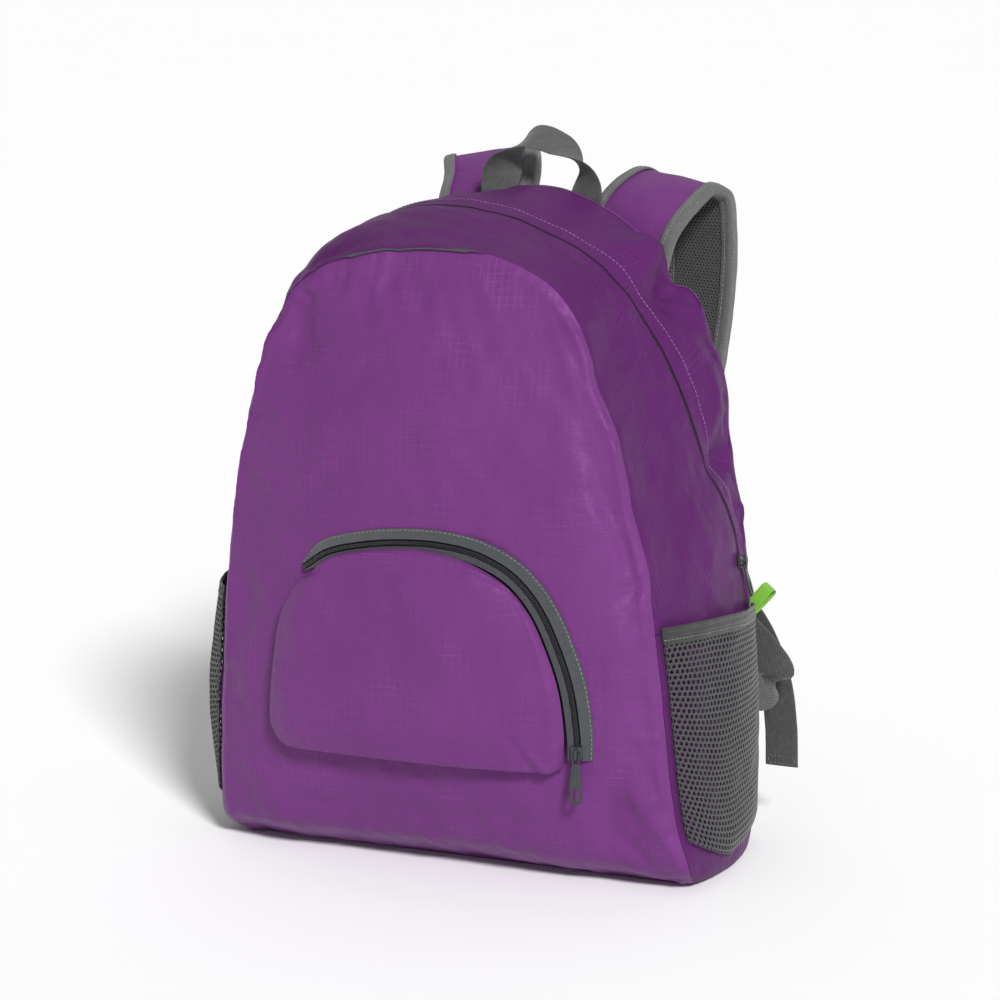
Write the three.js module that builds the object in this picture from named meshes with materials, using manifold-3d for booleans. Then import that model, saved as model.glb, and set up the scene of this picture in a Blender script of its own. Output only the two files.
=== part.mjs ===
// A packable day backpack in thin ripstop cloth, standing upright and filled out.
// Millimetres, +Z up. The origin is the middle of the base on the floor, the front faces -Y.
import * as THREE from 'three';
import Module from 'manifold-3d';

const wasm = await Module();
wasm.setup();

// Driving sizes of the bag
const bagHeight = 422;          // floor to the rear seam at the crown
const frontHeight = 394;        // floor to the front seam at the crown
const frontHalfWidth = 167;     // half width that the front seam's shares follow
const rearHalfWidth = 152;      // widest half of the rear seam
const frontReach = 92;          // front seam forward of the middle plane
const rearReach = 66;           // rear seam behind the middle plane
const clothWall = 1.2;          // body cloth with its coating and seam allowance
const seamGap = 0.3;            // between neighbouring pieces
const rimGap = 0.5;             // between a panel's wall and the edge of the side cloth
const frontSwell = 30;          // how far the filled front panel stands forward of its seam
const backSwell = 7;            // how far the back panel stands behind its seam
const sideSwell = 32;           // how far the filled side stands out between its seams

// Driving sizes of the zippers
const mainZipSlot = 3;          // line between the two folded cloth edges
const mainZipLap = 8;           // tape hidden under each cloth edge
const zipDrop = 4;              // zipper ends this far below the front ends of the sloping elastics
const zipGape = 4;              // how far the cloth edges stand apart where the zipper gapes
const tapeWall = 0.8;
const coilWall = 1.3;
const pocketCoilWidth = 3.2;
const outerTapeWidth = 6;
const innerTapeWidth = 4;
const sliderLength = 9;
const sliderWidth = 7.5;
const sliderPlate = 1.4;
const archHeight = 3.6;
const archWall = 1.2;
const archWidth = 1.6;
const pocketPullLength = 32;
const mainPullLength = 24;
const mainPullLean = 16;        // degrees, the main pull rests on the full side cloth
const sliderStand = 0.5;        // slider clear of the coil that it straddles
const pullClear = 6;            // main pull's lower end above the zipper's end
const pullWidth = 7.6;
const pullNeck = 4.6;
const pullWall = 1.1;
const pullWindow = 5.2;         // window round the slider's arch
const pullHoleLength = 9;
const pullHoleWidth = 3.4;

// Driving sizes of the front pocket
const pocketHalfWidth = 106;
const pocketBottom = 78;        // floor to the lower edge of the pocket
const pocketHeight = 138;       // lower edge to the top of the zip arc
const pocketSwell = 13;
const zipLift = 4;              // the pocket's zipper stands this far off the front panel

// Driving sizes of the net side pockets
const netTop = 167;             // floor to the elastic's lower edge
const netWall = 1.6;
const netStand = 3.4;           // net's outer face off the side cloth, next to its sewn edges
const netSwellLeft = 8;         // extra fullness in the middle of each net
const netSwellRight = 6.5;
const netFootHeight = 14;       // floor to the lower edge of the net
const netSlope = 27;            // the net's top falls this much towards the back
const netColumns = 6;
const netRows = 9;
const elasticWidth = 11;
const elasticWall = 1.8;

// Driving sizes of the straps and webbing
const strapWidth = 66;
const strapPad = 6;             // thickness of the padded middle
const strapReach = 140;         // farthest the strap loops behind the middle plane
const leftStrapInset = 12;      // the left strap hangs nearer the middle at the top
const leftStrapRise = 13;       // and its loop stands higher
const bindingWidth = 8;
const bindingWall = 1.2;
const strapNetWall = 0.9;
const webbingWidth = 25;
const webbingWall = 1.5;
const handlePeak = 452;         // floor to the middle of the grab handle's top
const handleHalfSpan = 33;
const lockWidth = 35;
const lockHeight = 27;
const lockWall = 3;
const lockBar = 4;
const lockSlotWidth = 27;
const upperSlot = 8;
const lowerSlot = 6;
const tabLength = 27;
const tabBreadth = 9;
const tabCloth = 1;
const tabLoop = 7;

// Small helpers for tables and smooth values
function table(names, rows) {
  return rows.map((row) => Object.fromEntries(names.map((name, k) => [name, row[k]])));
}

function smoothValue(rows, inName, outName, value) {
  const xs = rows.map((row) => row[inName]);
  const ys = rows.map((row) => row[outName]);
  const last = xs.length - 1;
  if (value <= xs[0]) return ys[0];
  if (value >= xs[last]) return ys[last];
  const k = xs.findIndex((x) => x > value) - 1;
  const slope = (i) => {
    if (i === 0 || i === last) return 0;
    const before = (ys[i] - ys[i - 1]) / (xs[i] - xs[i - 1]);
    const after = (ys[i + 1] - ys[i]) / (xs[i + 1] - xs[i]);
    if (before * after <= 0) return 0;
    return (2 * before * after) / (before + after);
  };
  const span = xs[k + 1] - xs[k];
  const f = (value - xs[k]) / span;
  const rise = (3 - 2 * f) * f * f;
  const start = f * (1 - f) * (1 - f);
  const end = -f * f * (1 - f);
  return ys[k] * (1 - rise) + ys[k + 1] * rise + span * (slope(k) * start + slope(k + 1) * end);
}

const clamp01 = (value) => Math.min(1, Math.max(0, value));
const quarterRound = (value, reach) => Math.sqrt(1 - Math.pow(1 - clamp01(value / reach), 2));
const spread = (from, to, count) => Array.from({ length: count + 1 }, (_, k) => from + ((to - from) * k) / count);

// Seams. Half outlines from the floor to the crown, as shares of the named sizes:
// out is the half width, up the height, fore or back the distance from the middle plane,
// lean moves both halves sideways (a share of the half width, to the left when negative).
const frontSeamRows = table(['out', 'up', 'fore', 'lean'], [
  [0.929, 0.000, 0.620, 0.011],
  [0.969, 0.012, 0.740, 0.011],
  [0.981, 0.038, 0.870, 0.009],
  [0.964, 0.100, 0.930, 0.002],
  [0.946, 0.165, 0.955, -0.006],
  [0.912, 0.340, 0.985, -0.012],
  [0.865, 0.513, 1.000, -0.020],
  [0.792, 0.670, 0.990, -0.036],
  [0.700, 0.800, 0.965, -0.052],
  [0.617, 0.891, 0.945, -0.056],
  [0.527, 0.938, 0.935, -0.052],
  [0.430, 0.965, 0.930, -0.046],
  [0.310, 0.984, 0.925, -0.036],
  [0.160, 0.996, 0.920, -0.028],
  [0.000, 1.000, 0.920, -0.024],
]);
const rearSeamRows = table(['out', 'up', 'back', 'lean'], [
  [0.955, 0.000, 0.940, 0],
  [0.990, 0.012, 0.955, 0],
  [1.000, 0.032, 0.970, 0],
  [1.000, 0.150, 1.000, 0],
  [0.995, 0.280, 1.000, 0],
  [0.975, 0.375, 1.000, 0],
  [0.940, 0.500, 1.000, 0],
  [0.905, 0.573, 1.000, 0],
  [0.872, 0.640, 1.000, 0],
  [0.858, 0.690, 1.000, 0],
  [0.826, 0.750, 1.000, 0],
  [0.754, 0.810, 1.000, 0],
  [0.672, 0.853, 1.000, 0],
  [0.586, 0.887, 1.000, 0],
  [0.490, 0.920, 1.000, 0],
  [0.375, 0.952, 1.000, 0],
  [0.260, 0.974, 1.000, 0],
  [0.125, 0.993, 1.000, 0],
  [0.000, 1.000, 1.000, 0],
]);
const seamFoot = clothWall + seamGap;

function seamCurve(rows, halfWidth, height, depthName, depth) {
  const half = (side) => rows.map((row) => new THREE.Vector3(
    (side * row.out + row.lean) * halfWidth,
    row[depthName] * depth,
    seamFoot + row.up * (height - seamFoot),
  ));
  const left = half(-1);
  const right = half(1).slice(0, -1).reverse();
  const curve = new THREE.CatmullRomCurve3([...left, ...right], false, 'centripetal');
  curve.arcLengthDivisions = 400;
  return curve;
}

const frontSeam = seamCurve(frontSeamRows, frontHalfWidth, frontHeight, 'fore', -frontReach);
const rearSeam = seamCurve(rearSeamRows, rearHalfWidth, bagHeight, 'back', rearReach);

// Side and top cloth between the seams. along runs from the left foot over the crown to the
// right foot, across from the front seam to the rear one. swell is a share of sideSwell.
const sideFullness = table(['along', 'swell'], [
  [0.000, 0.22],
  [0.030, 0.52],
  [0.075, 0.80],
  [0.115, 0.90],
  [0.160, 0.76],
  [0.205, 0.48],
  [0.260, 0.38],
  [0.310, 0.56],
  [0.355, 0.64],
  [0.400, 0.66],
  [0.450, 0.48],
  [0.500, 0.16],
  [0.550, -0.06],
  [0.620, -0.12],
  [0.680, -0.04],
  [0.740, 0.10],
  [0.795, 0.26],
  [0.840, 0.31],
  [0.890, 0.29],
  [0.930, 0.30],
  [0.965, 0.33],
  [1.000, 0.36],
]);

// Main folds and dents of the side and top cloth: rise is a share of sideSwell
const sideFolds = table(['along', 'across', 'length', 'breadth', 'rise'], [
  [0.592, 0.84, 0.018, 0.16, 0.42],
  [0.624, 0.90, 0.014, 0.16, -0.34],
  [0.655, 0.80, 0.022, 0.20, 0.10],
  [0.700, 0.86, 0.026, 0.18, 0.16],
  [0.737, 0.88, 0.010, 0.16, -0.24],
  [0.770, 0.60, 0.030, 0.30, 0.08],
  [0.640, 0.22, 0.026, 0.20, -0.07],
  [0.690, 0.30, 0.026, 0.22, -0.08],
  [0.345, 0.10, 0.020, 0.14, -0.22],
  [0.300, 0.75, 0.020, 0.22, -0.12],
]);

function foldRise(rows, a, b) {
  const sum = rows.reduce((total, fold) => {
    const da = (a - fold.along) / fold.length;
    const db = (b - fold.across) / fold.breadth;
    return total + fold.rise * Math.exp(-da * da - db * db);
  }, 0);
  return sum;
}

// Outwards across the seam. Near the feet it turns level, so that the base can be fuller there.
const footTurn = 0.04;          // share of the seam over which it turns

function outwardAt(along) {
  const tangent = frontSeam.getTangentAt(clamp01(along));
  const out = new THREE.Vector3(-tangent.z, 0, tangent.x).normalize();
  const foot = clamp01(1 - Math.min(along, 1 - along) / footTurn);
  return out.lerp(new THREE.Vector3(along < 0.5 ? -1 : 1, 0, 0), foot).normalize();
}

function sidePoint(along, across) {
  const a = clamp01(along);
  const front = frontSeam.getPointAt(a);
  const rear = rearSeam.getPointAt(a);
  const arch = 4 * across * (1 - across);
  const stand = smoothValue(sideFullness, 'along', 'swell', a) * arch;
  const fold = foldRise(sideFolds, a, across) * Math.min(1, 3 * arch);
  const point = front.lerp(rear, across).addScaledVector(outwardAt(a), (stand + fold) * sideSwell);
  point.z = Math.max(point.z, seamFoot);
  return point;
}

const seamDepth = (along) => rearSeam.getPointAt(along).y - frontSeam.getPointAt(along).y;
const rimShare = (along) => (clothWall + rimGap) / seamDepth(along);

// Front and back panels
const panelShoulder = 0.36;     // where along the seam the side edge turns into the top edge
const frontProfile = table(['up', 'swell'], [
  [0.00, 0.00],
  [0.05, 0.40],
  [0.13, 0.70],
  [0.30, 0.94],
  [0.50, 1.00],
  [0.70, 0.88],
  [0.85, 0.56],
  [0.94, 0.24],
  [1.00, 0.00],
]);

// Dents and soft folds of the front panel: places are shares of its half width and height
const frontFolds = table(['along', 'across', 'length', 'breadth', 'rise'], [
  [-0.58, 0.86, 0.10, 0.05, -0.16],
  [0.62, 0.62, 0.12, 0.14, 0.14],
  [0.80, 0.50, 0.07, 0.06, -0.14],
  [0.74, 0.40, 0.08, 0.05, 0.10],
  [0.78, 0.12, 0.10, 0.06, -0.14],
  [-0.80, 0.42, 0.10, 0.06, -0.10],
  [-0.72, 0.10, 0.20, 0.05, 0.08],
]);

// The left and right edges of the front panel, each from the crown down
const frontEdges = [0, 1].map((foot) => spread(0.5, foot, 160).map((along) => frontSeam.getPointAt(along)));

function frontEdgeAt(height, edge) {
  const k = Math.max(1, edge.findIndex((p) => p.z < height));
  const above = edge[k - 1];
  const below = edge[k];
  const f = clamp01((above.z - height) / Math.max(1e-6, above.z - below.z));
  return above.clone().lerp(below, f);
}

function frontDepth(x, z) {
  const height = Math.min(frontHeight, Math.max(seamFoot, z));
  const edge = frontEdgeAt(height, frontEdges[x < 0 ? 0 : 1]);
  const across = clamp01(Math.abs(x) / Math.max(1, Math.abs(edge.x)));
  const up = height / frontHeight;
  const dome = smoothValue(frontProfile, 'up', 'swell', up) * Math.pow(1 - across * across, 0.7);
  const fold = foldRise(frontFolds, x / frontHalfWidth, up) * Math.min(1, 6 * (1 - across));
  return edge.y - frontSwell * (dome + fold);
}

// Four edge curves filled in between: bottom and top run left to right, left and right upwards
function filledPatch(bottom, top, left, right) {
  const [c00, c10, c01, c11] = [bottom(0), bottom(1), top(0), top(1)];
  return (u, v) => {
    const point = bottom(u).multiplyScalar(1 - v).addScaledVector(top(u), v);
    point.addScaledVector(left(v), 1 - u).addScaledVector(right(v), u);
    point.addScaledVector(c00, -(1 - u) * (1 - v)).addScaledVector(c10, -u * (1 - v));
    return point.addScaledVector(c01, -(1 - u) * v).addScaledVector(c11, -u * v);
  };
}

function panelPatch(seam) {
  const foot = (u) => seam.getPointAt(0).lerp(seam.getPointAt(1), u);
  const crown = (u) => seam.getPointAt(panelShoulder + u * (1 - 2 * panelShoulder));
  const left = (v) => seam.getPointAt(v * panelShoulder);
  const right = (v) => seam.getPointAt(1 - v * panelShoulder);
  return filledPatch(foot, crown, left, right);
}

const onEdge = (u, v) => u <= 0 || u >= 1 || v <= 0 || v >= 1;
const frontPatch = panelPatch(frontSeam);
const backPatch = panelPatch(rearSeam);

function frontPoint(u, v) {
  const point = frontPatch(u, v);
  if (!onEdge(u, v)) point.y = frontDepth(point.x, point.z);
  return point;
}

function backPoint(u, v) {
  const point = backPatch(u, v);
  point.y += backSwell * Math.pow(16 * u * (1 - u) * v * (1 - v), 0.6);
  return point;
}

// Surfaces to solids
function faceOutward(positions, index) {
  let volume = 0;
  const corner = (k) => new THREE.Vector3().fromArray(positions, 3 * index[k]);
  for (let k = 0; k < index.length; k += 3) {
    volume += corner(k).dot(corner(k + 1).cross(corner(k + 2)));
  }
  if (volume >= 0) return index;
  const turned = [];
  for (let k = 0; k < index.length; k += 3) turned.push(index[k], index[k + 2], index[k + 1]);
  return turned;
}

function solid(positions, index) {
  const geometry = new THREE.BufferGeometry();
  geometry.setAttribute('position', new THREE.Float32BufferAttribute(positions, 3));
  geometry.setIndex(faceOutward(positions, index));
  geometry.computeVertexNormals();
  return geometry;
}

// Samples of a surface with normals that point away from a middle point
const bagMiddle = new THREE.Vector3(0, -5, 190);

function surfaceGrid(surface, us, vs, middle = bagMiddle) {
  const step = 0.004;
  return vs.map((v) => us.map((u) => {
    const point = surface(u, v);
    const du = surface(Math.min(1, u + step), v).sub(surface(Math.max(0, u - step), v));
    const dv = surface(u, Math.min(1, v + step)).sub(surface(u, Math.max(0, v - step)));
    const normal = du.cross(dv).normalize();
    if (normal.dot(point.clone().sub(middle)) < 0) normal.negate();
    return { point, normal };
  }));
}

// Samples of a surface whose normals are averaged from the faces of the grid itself
function panelGrid(surface, us, vs, middle = bagMiddle) {
  const points = vs.map((v) => us.map((u) => surface(u, v)));
  const normals = points.map((row) => row.map(() => new THREE.Vector3()));
  for (let j = 0; j < vs.length - 1; j += 1) {
    for (let i = 0; i < us.length - 1; i += 1) {
      const first = points[j + 1][i + 1].clone().sub(points[j][i]);
      const second = points[j + 1][i].clone().sub(points[j][i + 1]);
      const face = first.cross(second);
      [[j, i], [j, i + 1], [j + 1, i], [j + 1, i + 1]].forEach(([b, a]) => normals[b][a].add(face));
    }
  }
  return points.map((row, j) => row.map((point, i) => {
    const normal = normals[j][i].normalize();
    if (normal.dot(point.clone().sub(middle)) < 0) normal.negate();
    return { point, normal };
  }));
}

// A wall under a grid of samples: sink moves its outer face in along the normals
function shell(rows, wall, sink = 0) {
  const wide = rows[0].length;
  const layer = wide * rows.length;
  const positions = [sink, sink + wall].flatMap((depth) => rows.flatMap((row) => row.flatMap(
    ({ point, normal }) => point.clone().addScaledVector(normal, -depth).toArray(),
  )));
  const index = [];
  const quad = (a, b, c, d) => index.push(a, b, c, a, c, d);
  for (let j = 0; j < rows.length - 1; j += 1) {
    for (let i = 0; i < wide - 1; i += 1) {
      const k = j * wide + i;
      quad(k, k + 1, k + wide + 1, k + wide);
      quad(layer + k, layer + k + wide, layer + k + wide + 1, layer + k + 1);
    }
  }
  rimLoop(wide, rows.length).forEach(([a, b]) => quad(b, a, layer + a, layer + b));
  return solid(positions, index);
}

// Pairs of neighbouring border samples, once round the grid in its own turning sense
function rimLoop(wide, high) {
  const loop = [];
  for (let i = 0; i < wide - 1; i += 1) loop.push(i);
  for (let j = 0; j < high - 1; j += 1) loop.push(j * wide + wide - 1);
  for (let i = wide - 1; i > 0; i -= 1) loop.push((high - 1) * wide + i);
  for (let j = high - 1; j > 0; j -= 1) loop.push(j * wide);
  return loop.map((a, k) => [a, loop[(k + 1) % loop.length]]);
}

// A wall with a diamond opening in each cell of the grid
function netShell(surface, us, vs, wall, thread) {
  const rows = surfaceGrid(surface, us, vs);
  const wide = us.length;
  const samples = rows.flat();
  const cells = [];
  for (let j = 0; j < vs.length - 1; j += 1) {
    for (let i = 0; i < wide - 1; i += 1) {
      const reachU = (us[i + 1] - us[i]) / 2 - thread;
      const reachV = ((vs[j + 1] - vs[j]) / 2) * 0.72;
      const u = (us[i] + us[i + 1]) / 2;
      const v = (vs[j] + vs[j + 1]) / 2;
      const spots = [[u, v - reachV], [u + reachU, v], [u, v + reachV], [u - reachU, v]];
      const first = samples.length;
      spots.forEach(([a, b]) => samples.push(surfaceGrid(surface, [a], [b])[0][0]));
      const k = j * wide + i;
      cells.push({ corners: [k, k + 1, k + wide + 1, k + wide], hole: [first, first + 1, first + 2, first + 3] });
    }
  }
  const layer = samples.length;
  const positions = [0, wall].flatMap((depth) => samples.flatMap(
    ({ point, normal }) => point.clone().addScaledVector(normal, -depth).toArray(),
  ));
  const index = [];
  const both = (a, b, c) => index.push(a, b, c, layer + a, layer + c, layer + b);
  const quad = (a, b, c, d) => index.push(a, b, c, a, c, d);
  cells.forEach(({ corners, hole }) => corners.forEach((corner, k) => {
    const next = (k + 1) % 4;
    both(corner, corners[next], hole[k]);
    both(corners[next], hole[next], hole[k]);
    quad(hole[k], hole[next], layer + hole[next], layer + hole[k]);
  }));
  rimLoop(wide, vs.length).forEach(([a, b]) => quad(b, a, layer + a, layer + b));
  return solid(positions, index);
}

// A closed ring of points carried along stations, with flat ends
function sweptRings(rings) {
  const count = rings[0].length;
  const positions = rings.flatMap((ring) => ring.flatMap((point) => point.toArray()));
  const index = [];
  for (let j = 0; j < rings.length - 1; j += 1) {
    for (let i = 0; i < count; i += 1) {
      const a = j * count + i;
      const b = j * count + ((i + 1) % count);
      if (i < count / 2) index.push(a, b, b + count, a, b + count, a + count);
      else index.push(a, b, a + count, b, b + count, a + count);
    }
  }
  const last = (rings.length - 1) * count;
  for (let i = 1; i < count - 1; i += 1) {
    index.push(0, i + 1, i, last, last + i, last + i + 1);
  }
  return solid(positions, index);
}

// Stations on a smooth route: each has its point, its broad direction and its face direction
function routeStations(rows, count) {
  const curve = new THREE.CatmullRomCurve3(rows.map((row) => row.point), false, 'centripetal');
  return spread(0, 1, count).map((t) => {
    const place = t * (rows.length - 1);
    const k = Math.min(rows.length - 2, Math.floor(place));
    const point = curve.getPoint(t);
    const tangent = curve.getTangent(t);
    const broad = rows[k].broad.clone().lerp(rows[k + 1].broad, place - k);
    broad.addScaledVector(tangent, -broad.dot(tangent)).normalize();
    const face = tangent.clone().cross(broad).normalize();
    return { point, broad, face };
  });
}

const offsetPoint = (station, broad, face) => station.point.clone()
  .addScaledVector(station.broad, broad).addScaledVector(station.face, face);

// A flat strip along stations; widthAt gives its width at a station
function ribbon(stations, widthAt, wall) {
  const corners = [[-0.5, -0.5], [0.5, -0.5], [0.5, 0.5], [-0.5, 0.5]];
  return sweptRings(stations.map((station) => {
    const width = widthAt(station);
    return corners.map(([b, f]) => offsetPoint(station, b * width, f * wall));
  }));
}

const webbing = (stations) => ribbon(stations, () => webbingWidth, webbingWall);

// An outline in X and Z with its thickness along Y, centred on Y = 0
function plate(outline, thickness) {
  const geometry = new THREE.ExtrudeGeometry(outline, { depth: thickness, bevelEnabled: false, curveSegments: 5 });
  geometry.rotateX(Math.PI / 2);
  geometry.translate(0, thickness / 2, 0);
  return geometry;
}

function mergedSolid(geometry) {
  const source = geometry.index ? geometry.toNonIndexed() : geometry;
  const place = source.getAttribute('position');
  const known = new Map();
  const points = [];
  const index = [];
  for (let k = 0; k < place.count; k += 1) {
    const values = [place.getX(k), place.getY(k), place.getZ(k)];
    const key = values.map((value) => value.toFixed(4)).join(' ');
    if (!known.has(key)) {
      known.set(key, known.size);
      points.push(...values);
    }
    index.push(known.get(key));
  }
  return new wasm.Manifold(new wasm.Mesh({
    numProp: 3,
    vertProperties: new Float32Array(points),
    triVerts: new Uint32Array(index),
  }));
}

function fused(first, second) {
  const mesh = mergedSolid(first).add(mergedSolid(second)).getMesh();
  return solid(Array.from(mesh.vertProperties), Array.from(mesh.triVerts));
}

// Materials
const cloth = (color) => new THREE.MeshStandardMaterial({ color, roughness: 0.62, metalness: 0 });
const purpleCloth = cloth('#6b3573');
const pocketCloth = cloth('#743c7c');
const greyTape = cloth('#565c5c');
const blackCoil = new THREE.MeshStandardMaterial({ color: '#17171a', roughness: 0.5, metalness: 0 });
const greyNet = cloth('#4a4c4a');
const greyWebbing = cloth('#585a58');
const greyBinding = cloth('#6a6c6a');
const limeTape = cloth('#94cf52');
const greyPaintedMetal = new THREE.MeshStandardMaterial({ color: '#54585a', roughness: 0.45, metalness: 0.5 });
const blackPlastic = new THREE.MeshStandardMaterial({ color: '#26272a', roughness: 0.4, metalness: 0 });

const backpack = new THREE.Group();

function add(name, geometry, material) {
  const mesh = new THREE.Mesh(geometry, material);
  mesh.name = name;
  backpack.add(mesh);
  return mesh;
}

// Base, flat on the floor, between the feet of the two seams with full sides
function buildBase() {
  const outline = new THREE.Shape();
  const shares = spread(0, 1, 8);
  const right = shares.map((across) => sidePoint(1, across));
  const left = shares.map((across) => sidePoint(0, 1 - across));
  [...right, ...left].forEach(({ x, y }, k) => (k === 0 ? outline.moveTo(x, y) : outline.lineTo(x, y)));
  outline.closePath();
  add('base_panel', new THREE.ExtrudeGeometry(outline, { depth: clothWall, bevelEnabled: false }), purpleCloth);
}

function buildPanels() {
  add('front_panel', shell(panelGrid(frontPoint, spread(0, 1, 16), spread(0, 1, 15)), clothWall), purpleCloth);
  add('back_panel', shell(panelGrid(backPoint, spread(0, 1, 12), spread(0, 1, 11)), clothWall), purpleCloth);
}

// Share of the front seam at which the side cloth reaches a height
const alongAtHeight = (height) => spread(0, 0.4, 400).find((along) => sidePoint(along, 0.5).z >= height);

// Main zipper line: place across the side cloth, and how far the cloth edges gape
const zipStart = alongAtHeight(netTop + elasticWidth - zipDrop);
const zipLine = table(['along', 'across', 'gape'], [
  [zipStart, 0.935, 0.0],
  [0.220, 0.900, 0.0],
  [0.280, 0.800, 0.0],
  [0.350, 0.580, 0.3],
  [0.420, 0.480, 0.0],
  [0.500, 0.460, 0.0],
  [0.550, 0.500, 0.0],
  [0.600, 0.540, 0.0],
  [0.650, 0.570, 0.0],
  [0.720, 0.660, 0.2],
  [0.775, 0.800, 1.0],
  [0.800, 0.870, 1.0],
  [1 - zipStart, 0.935, 0.4],
]);

function zipEdges(along) {
  const depth = seamDepth(along);
  const middle = smoothValue(zipLine, 'along', 'across', along);
  const gape = smoothValue(zipLine, 'along', 'gape', along) * zipGape;
  const front = middle - mainZipSlot / 2 / depth;
  const rear = middle + (mainZipSlot / 2 + gape) / depth;
  const room = 1 - rimShare(along) - rear;
  return { front, rear, lap: mainZipLap / depth, rearLap: Math.min(mainZipLap / depth, room * 0.5), middle };
}

const zipStations = spread(zipStart, 1 - zipStart, 32);

// The seam below the zipper runs down towards the back, so the places near it are slanted
const splitFall = 0.03;         // share of the seam by which its rear end is lower
const splitReach = 0.14;        // share of the seam above it over which the slant fades

function slanted(along, across) {
  const near = Math.min(along, 1 - along);
  const share = near < zipStart ? near / zipStart : clamp01(1 - (near - zipStart) / splitReach);
  const shift = splitFall * across * share;
  return along < 0.5 ? along - shift : along + shift;
}

const sideSample = (along, across) => surfaceGrid(sidePoint, [slanted(along, across)], [across])[0][0];

// Rows of samples across the side cloth at shares given by a function of along
function acrossGrid(stations, sharesAt) {
  return stations.map((along) => sharesAt(along).map((across) => sideSample(along, across)));
}

function buildGussets() {
  const frontShares = (along) => {
    const { front, lap } = zipEdges(along);
    return [...spread(rimShare(along), front - lap, 3), front];
  };
  const rearShares = (along) => {
    const { rear, rearLap } = zipEdges(along);
    return [rear, ...spread(rear + rearLap, 1 - rimShare(along), 2)];
  };
  const tapeShares = (along) => {
    const { front, rear, lap, rearLap } = zipEdges(along);
    return [front - lap, front, rear, rear + rearLap];
  };
  const coilShares = (along) => {
    const { front } = zipEdges(along);
    const depth = seamDepth(along);
    return [front + seamGap / depth, front + (mainZipSlot - seamGap) / depth];
  };
  add('gusset_front', shell(acrossGrid(zipStations, frontShares), clothWall), purpleCloth);
  add('gusset_rear', shell(acrossGrid(zipStations, rearShares), clothWall), purpleCloth);
  const tapeSink = clothWall + seamGap;
  add('main_zip_tape', shell(acrossGrid(zipStations, tapeShares), tapeWall, tapeSink), greyTape);
  const coilSink = tapeSink - seamGap - coilWall;
  add('main_zip_coil', shell(acrossGrid(zipStations, coilShares), coilWall, coilSink), blackCoil);
}

// Lower sides behind the net pockets
function buildSides() {
  const end = zipStart - seamGap / frontSeam.getLength();
  [['left', (s) => s], ['right', (s) => 1 - s]].forEach(([side, place]) => {
    const stations = spread(0, end, 8).map(place);
    const shares = (along) => spread(rimShare(along), 1 - rimShare(along), 6);
    add(`side_panel_${side}`, shell(acrossGrid(stations, shares), clothWall), purpleCloth);
  });
}

// Net side pockets and their elastic tops
const netFoot = alongAtHeight(netFootHeight);
const netHead = alongAtHeight(netTop);
const elasticHead = alongAtHeight(netTop + elasticWidth);
const netEdge = 0.03;           // share of the depth left free next to each seam

function netPoint(place, swell) {
  return (u, v) => {
    const across = netEdge + u * (1 - 2 * netEdge);
    const fall = (netSlope / frontSeam.getLength()) * across * clamp01(v);
    const along = place(netFoot + v * (netHead - netFoot) - fall);
    const out = surfaceGrid(sidePoint, [along], [across])[0][0];
    const full = swell * Math.pow(4 * u * (1 - u), 0.8) * Math.pow(clamp01(v * 2.2), 0.8);
    const free = quarterRound(u, 0.15) * quarterRound(1 - u, 0.15) * quarterRound(v, 0.12);
    const sewn = netWall + rimGap;
    return out.point.addScaledVector(out.normal, sewn + (netStand - sewn) * free + full);
  };
}

function buildNetPockets() {
  [['left', (s) => s, netSwellLeft], ['right', (s) => 1 - s, netSwellRight]].forEach(([side, place, swell]) => {
    const net = netPoint(place, swell);
    const us = spread(0, 1, netColumns);
    const vs = spread(0, 1, netRows);
    add(`net_pocket_${side}`, netShell(net, us, vs, netWall, 0.022), greyNet);
    const headShare = (elasticHead - netHead) / (netHead - netFoot);
    const gapShare = (seamGap * headShare) / elasticWidth;
    const bandRows = surfaceGrid(
      (u, v) => net(u, v * (1 + headShare)),
      spread(0, 1, 8),
      [(1 + gapShare) / (1 + headShare), 1],
    );
    add(`net_elastic_${side}`, shell(bandRows, elasticWall), greyWebbing);
  });
}

// Front pocket. The zip arc runs from its upper left start over the top to the lower right end,
// out is a share of the pocket's half width, up a share of its height, lift a share of zipLift.
const pocketArcRows = table(['out', 'up', 'lift'], [
  [-0.76, 0.835, 0.35],
  [-0.58, 0.920, 0.80],
  [-0.31, 0.975, 0.90],
  [-0.04, 1.000, 0.95],
  [0.21, 0.998, 1.00],
  [0.42, 0.965, 1.00],
  [0.62, 0.885, 1.05],
  [0.775, 0.750, 1.15],
  [0.888, 0.560, 1.25],
  [0.955, 0.385, 1.30],
  [0.985, 0.180, 1.20],
  [0.980, 0.060, 0.90],
]);
const pocketLeft = table(['out', 'up'], [
  [-0.98, 0.000],
  [-1.05, 0.070],
  [-1.02, 0.350],
  [-0.96, 0.600],
  [-0.85, 0.760],
  [-0.79, 0.800],
]);
const pocketPlace = (row) => new THREE.Vector3(row.out * pocketHalfWidth, 0, pocketBottom + row.up * pocketHeight);
const pocketArc = new THREE.CatmullRomCurve3(pocketArcRows.map(pocketPlace), false, 'centripetal');
const pocketLeftEdge = new THREE.CatmullRomCurve3(pocketLeft.map(pocketPlace), false, 'centripetal');

function arcLift(k) {
  const rows = pocketArcRows.map((row, i) => ({ at: i / (pocketArcRows.length - 1), lift: row.lift }));
  return smoothValue(rows, 'at', 'lift', k) * zipLift;
}

// A point beside the arc, moved outwards in the plane and lifted off the front panel
function besideArc(k, out, lift) {
  const point = pocketArc.getPoint(clamp01(k));
  const tangent = pocketArc.getTangent(clamp01(k));
  point.x += -tangent.z * out;
  point.z += tangent.x * out;
  point.y = frontDepth(point.x, point.z) - lift;
  return point;
}

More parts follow.
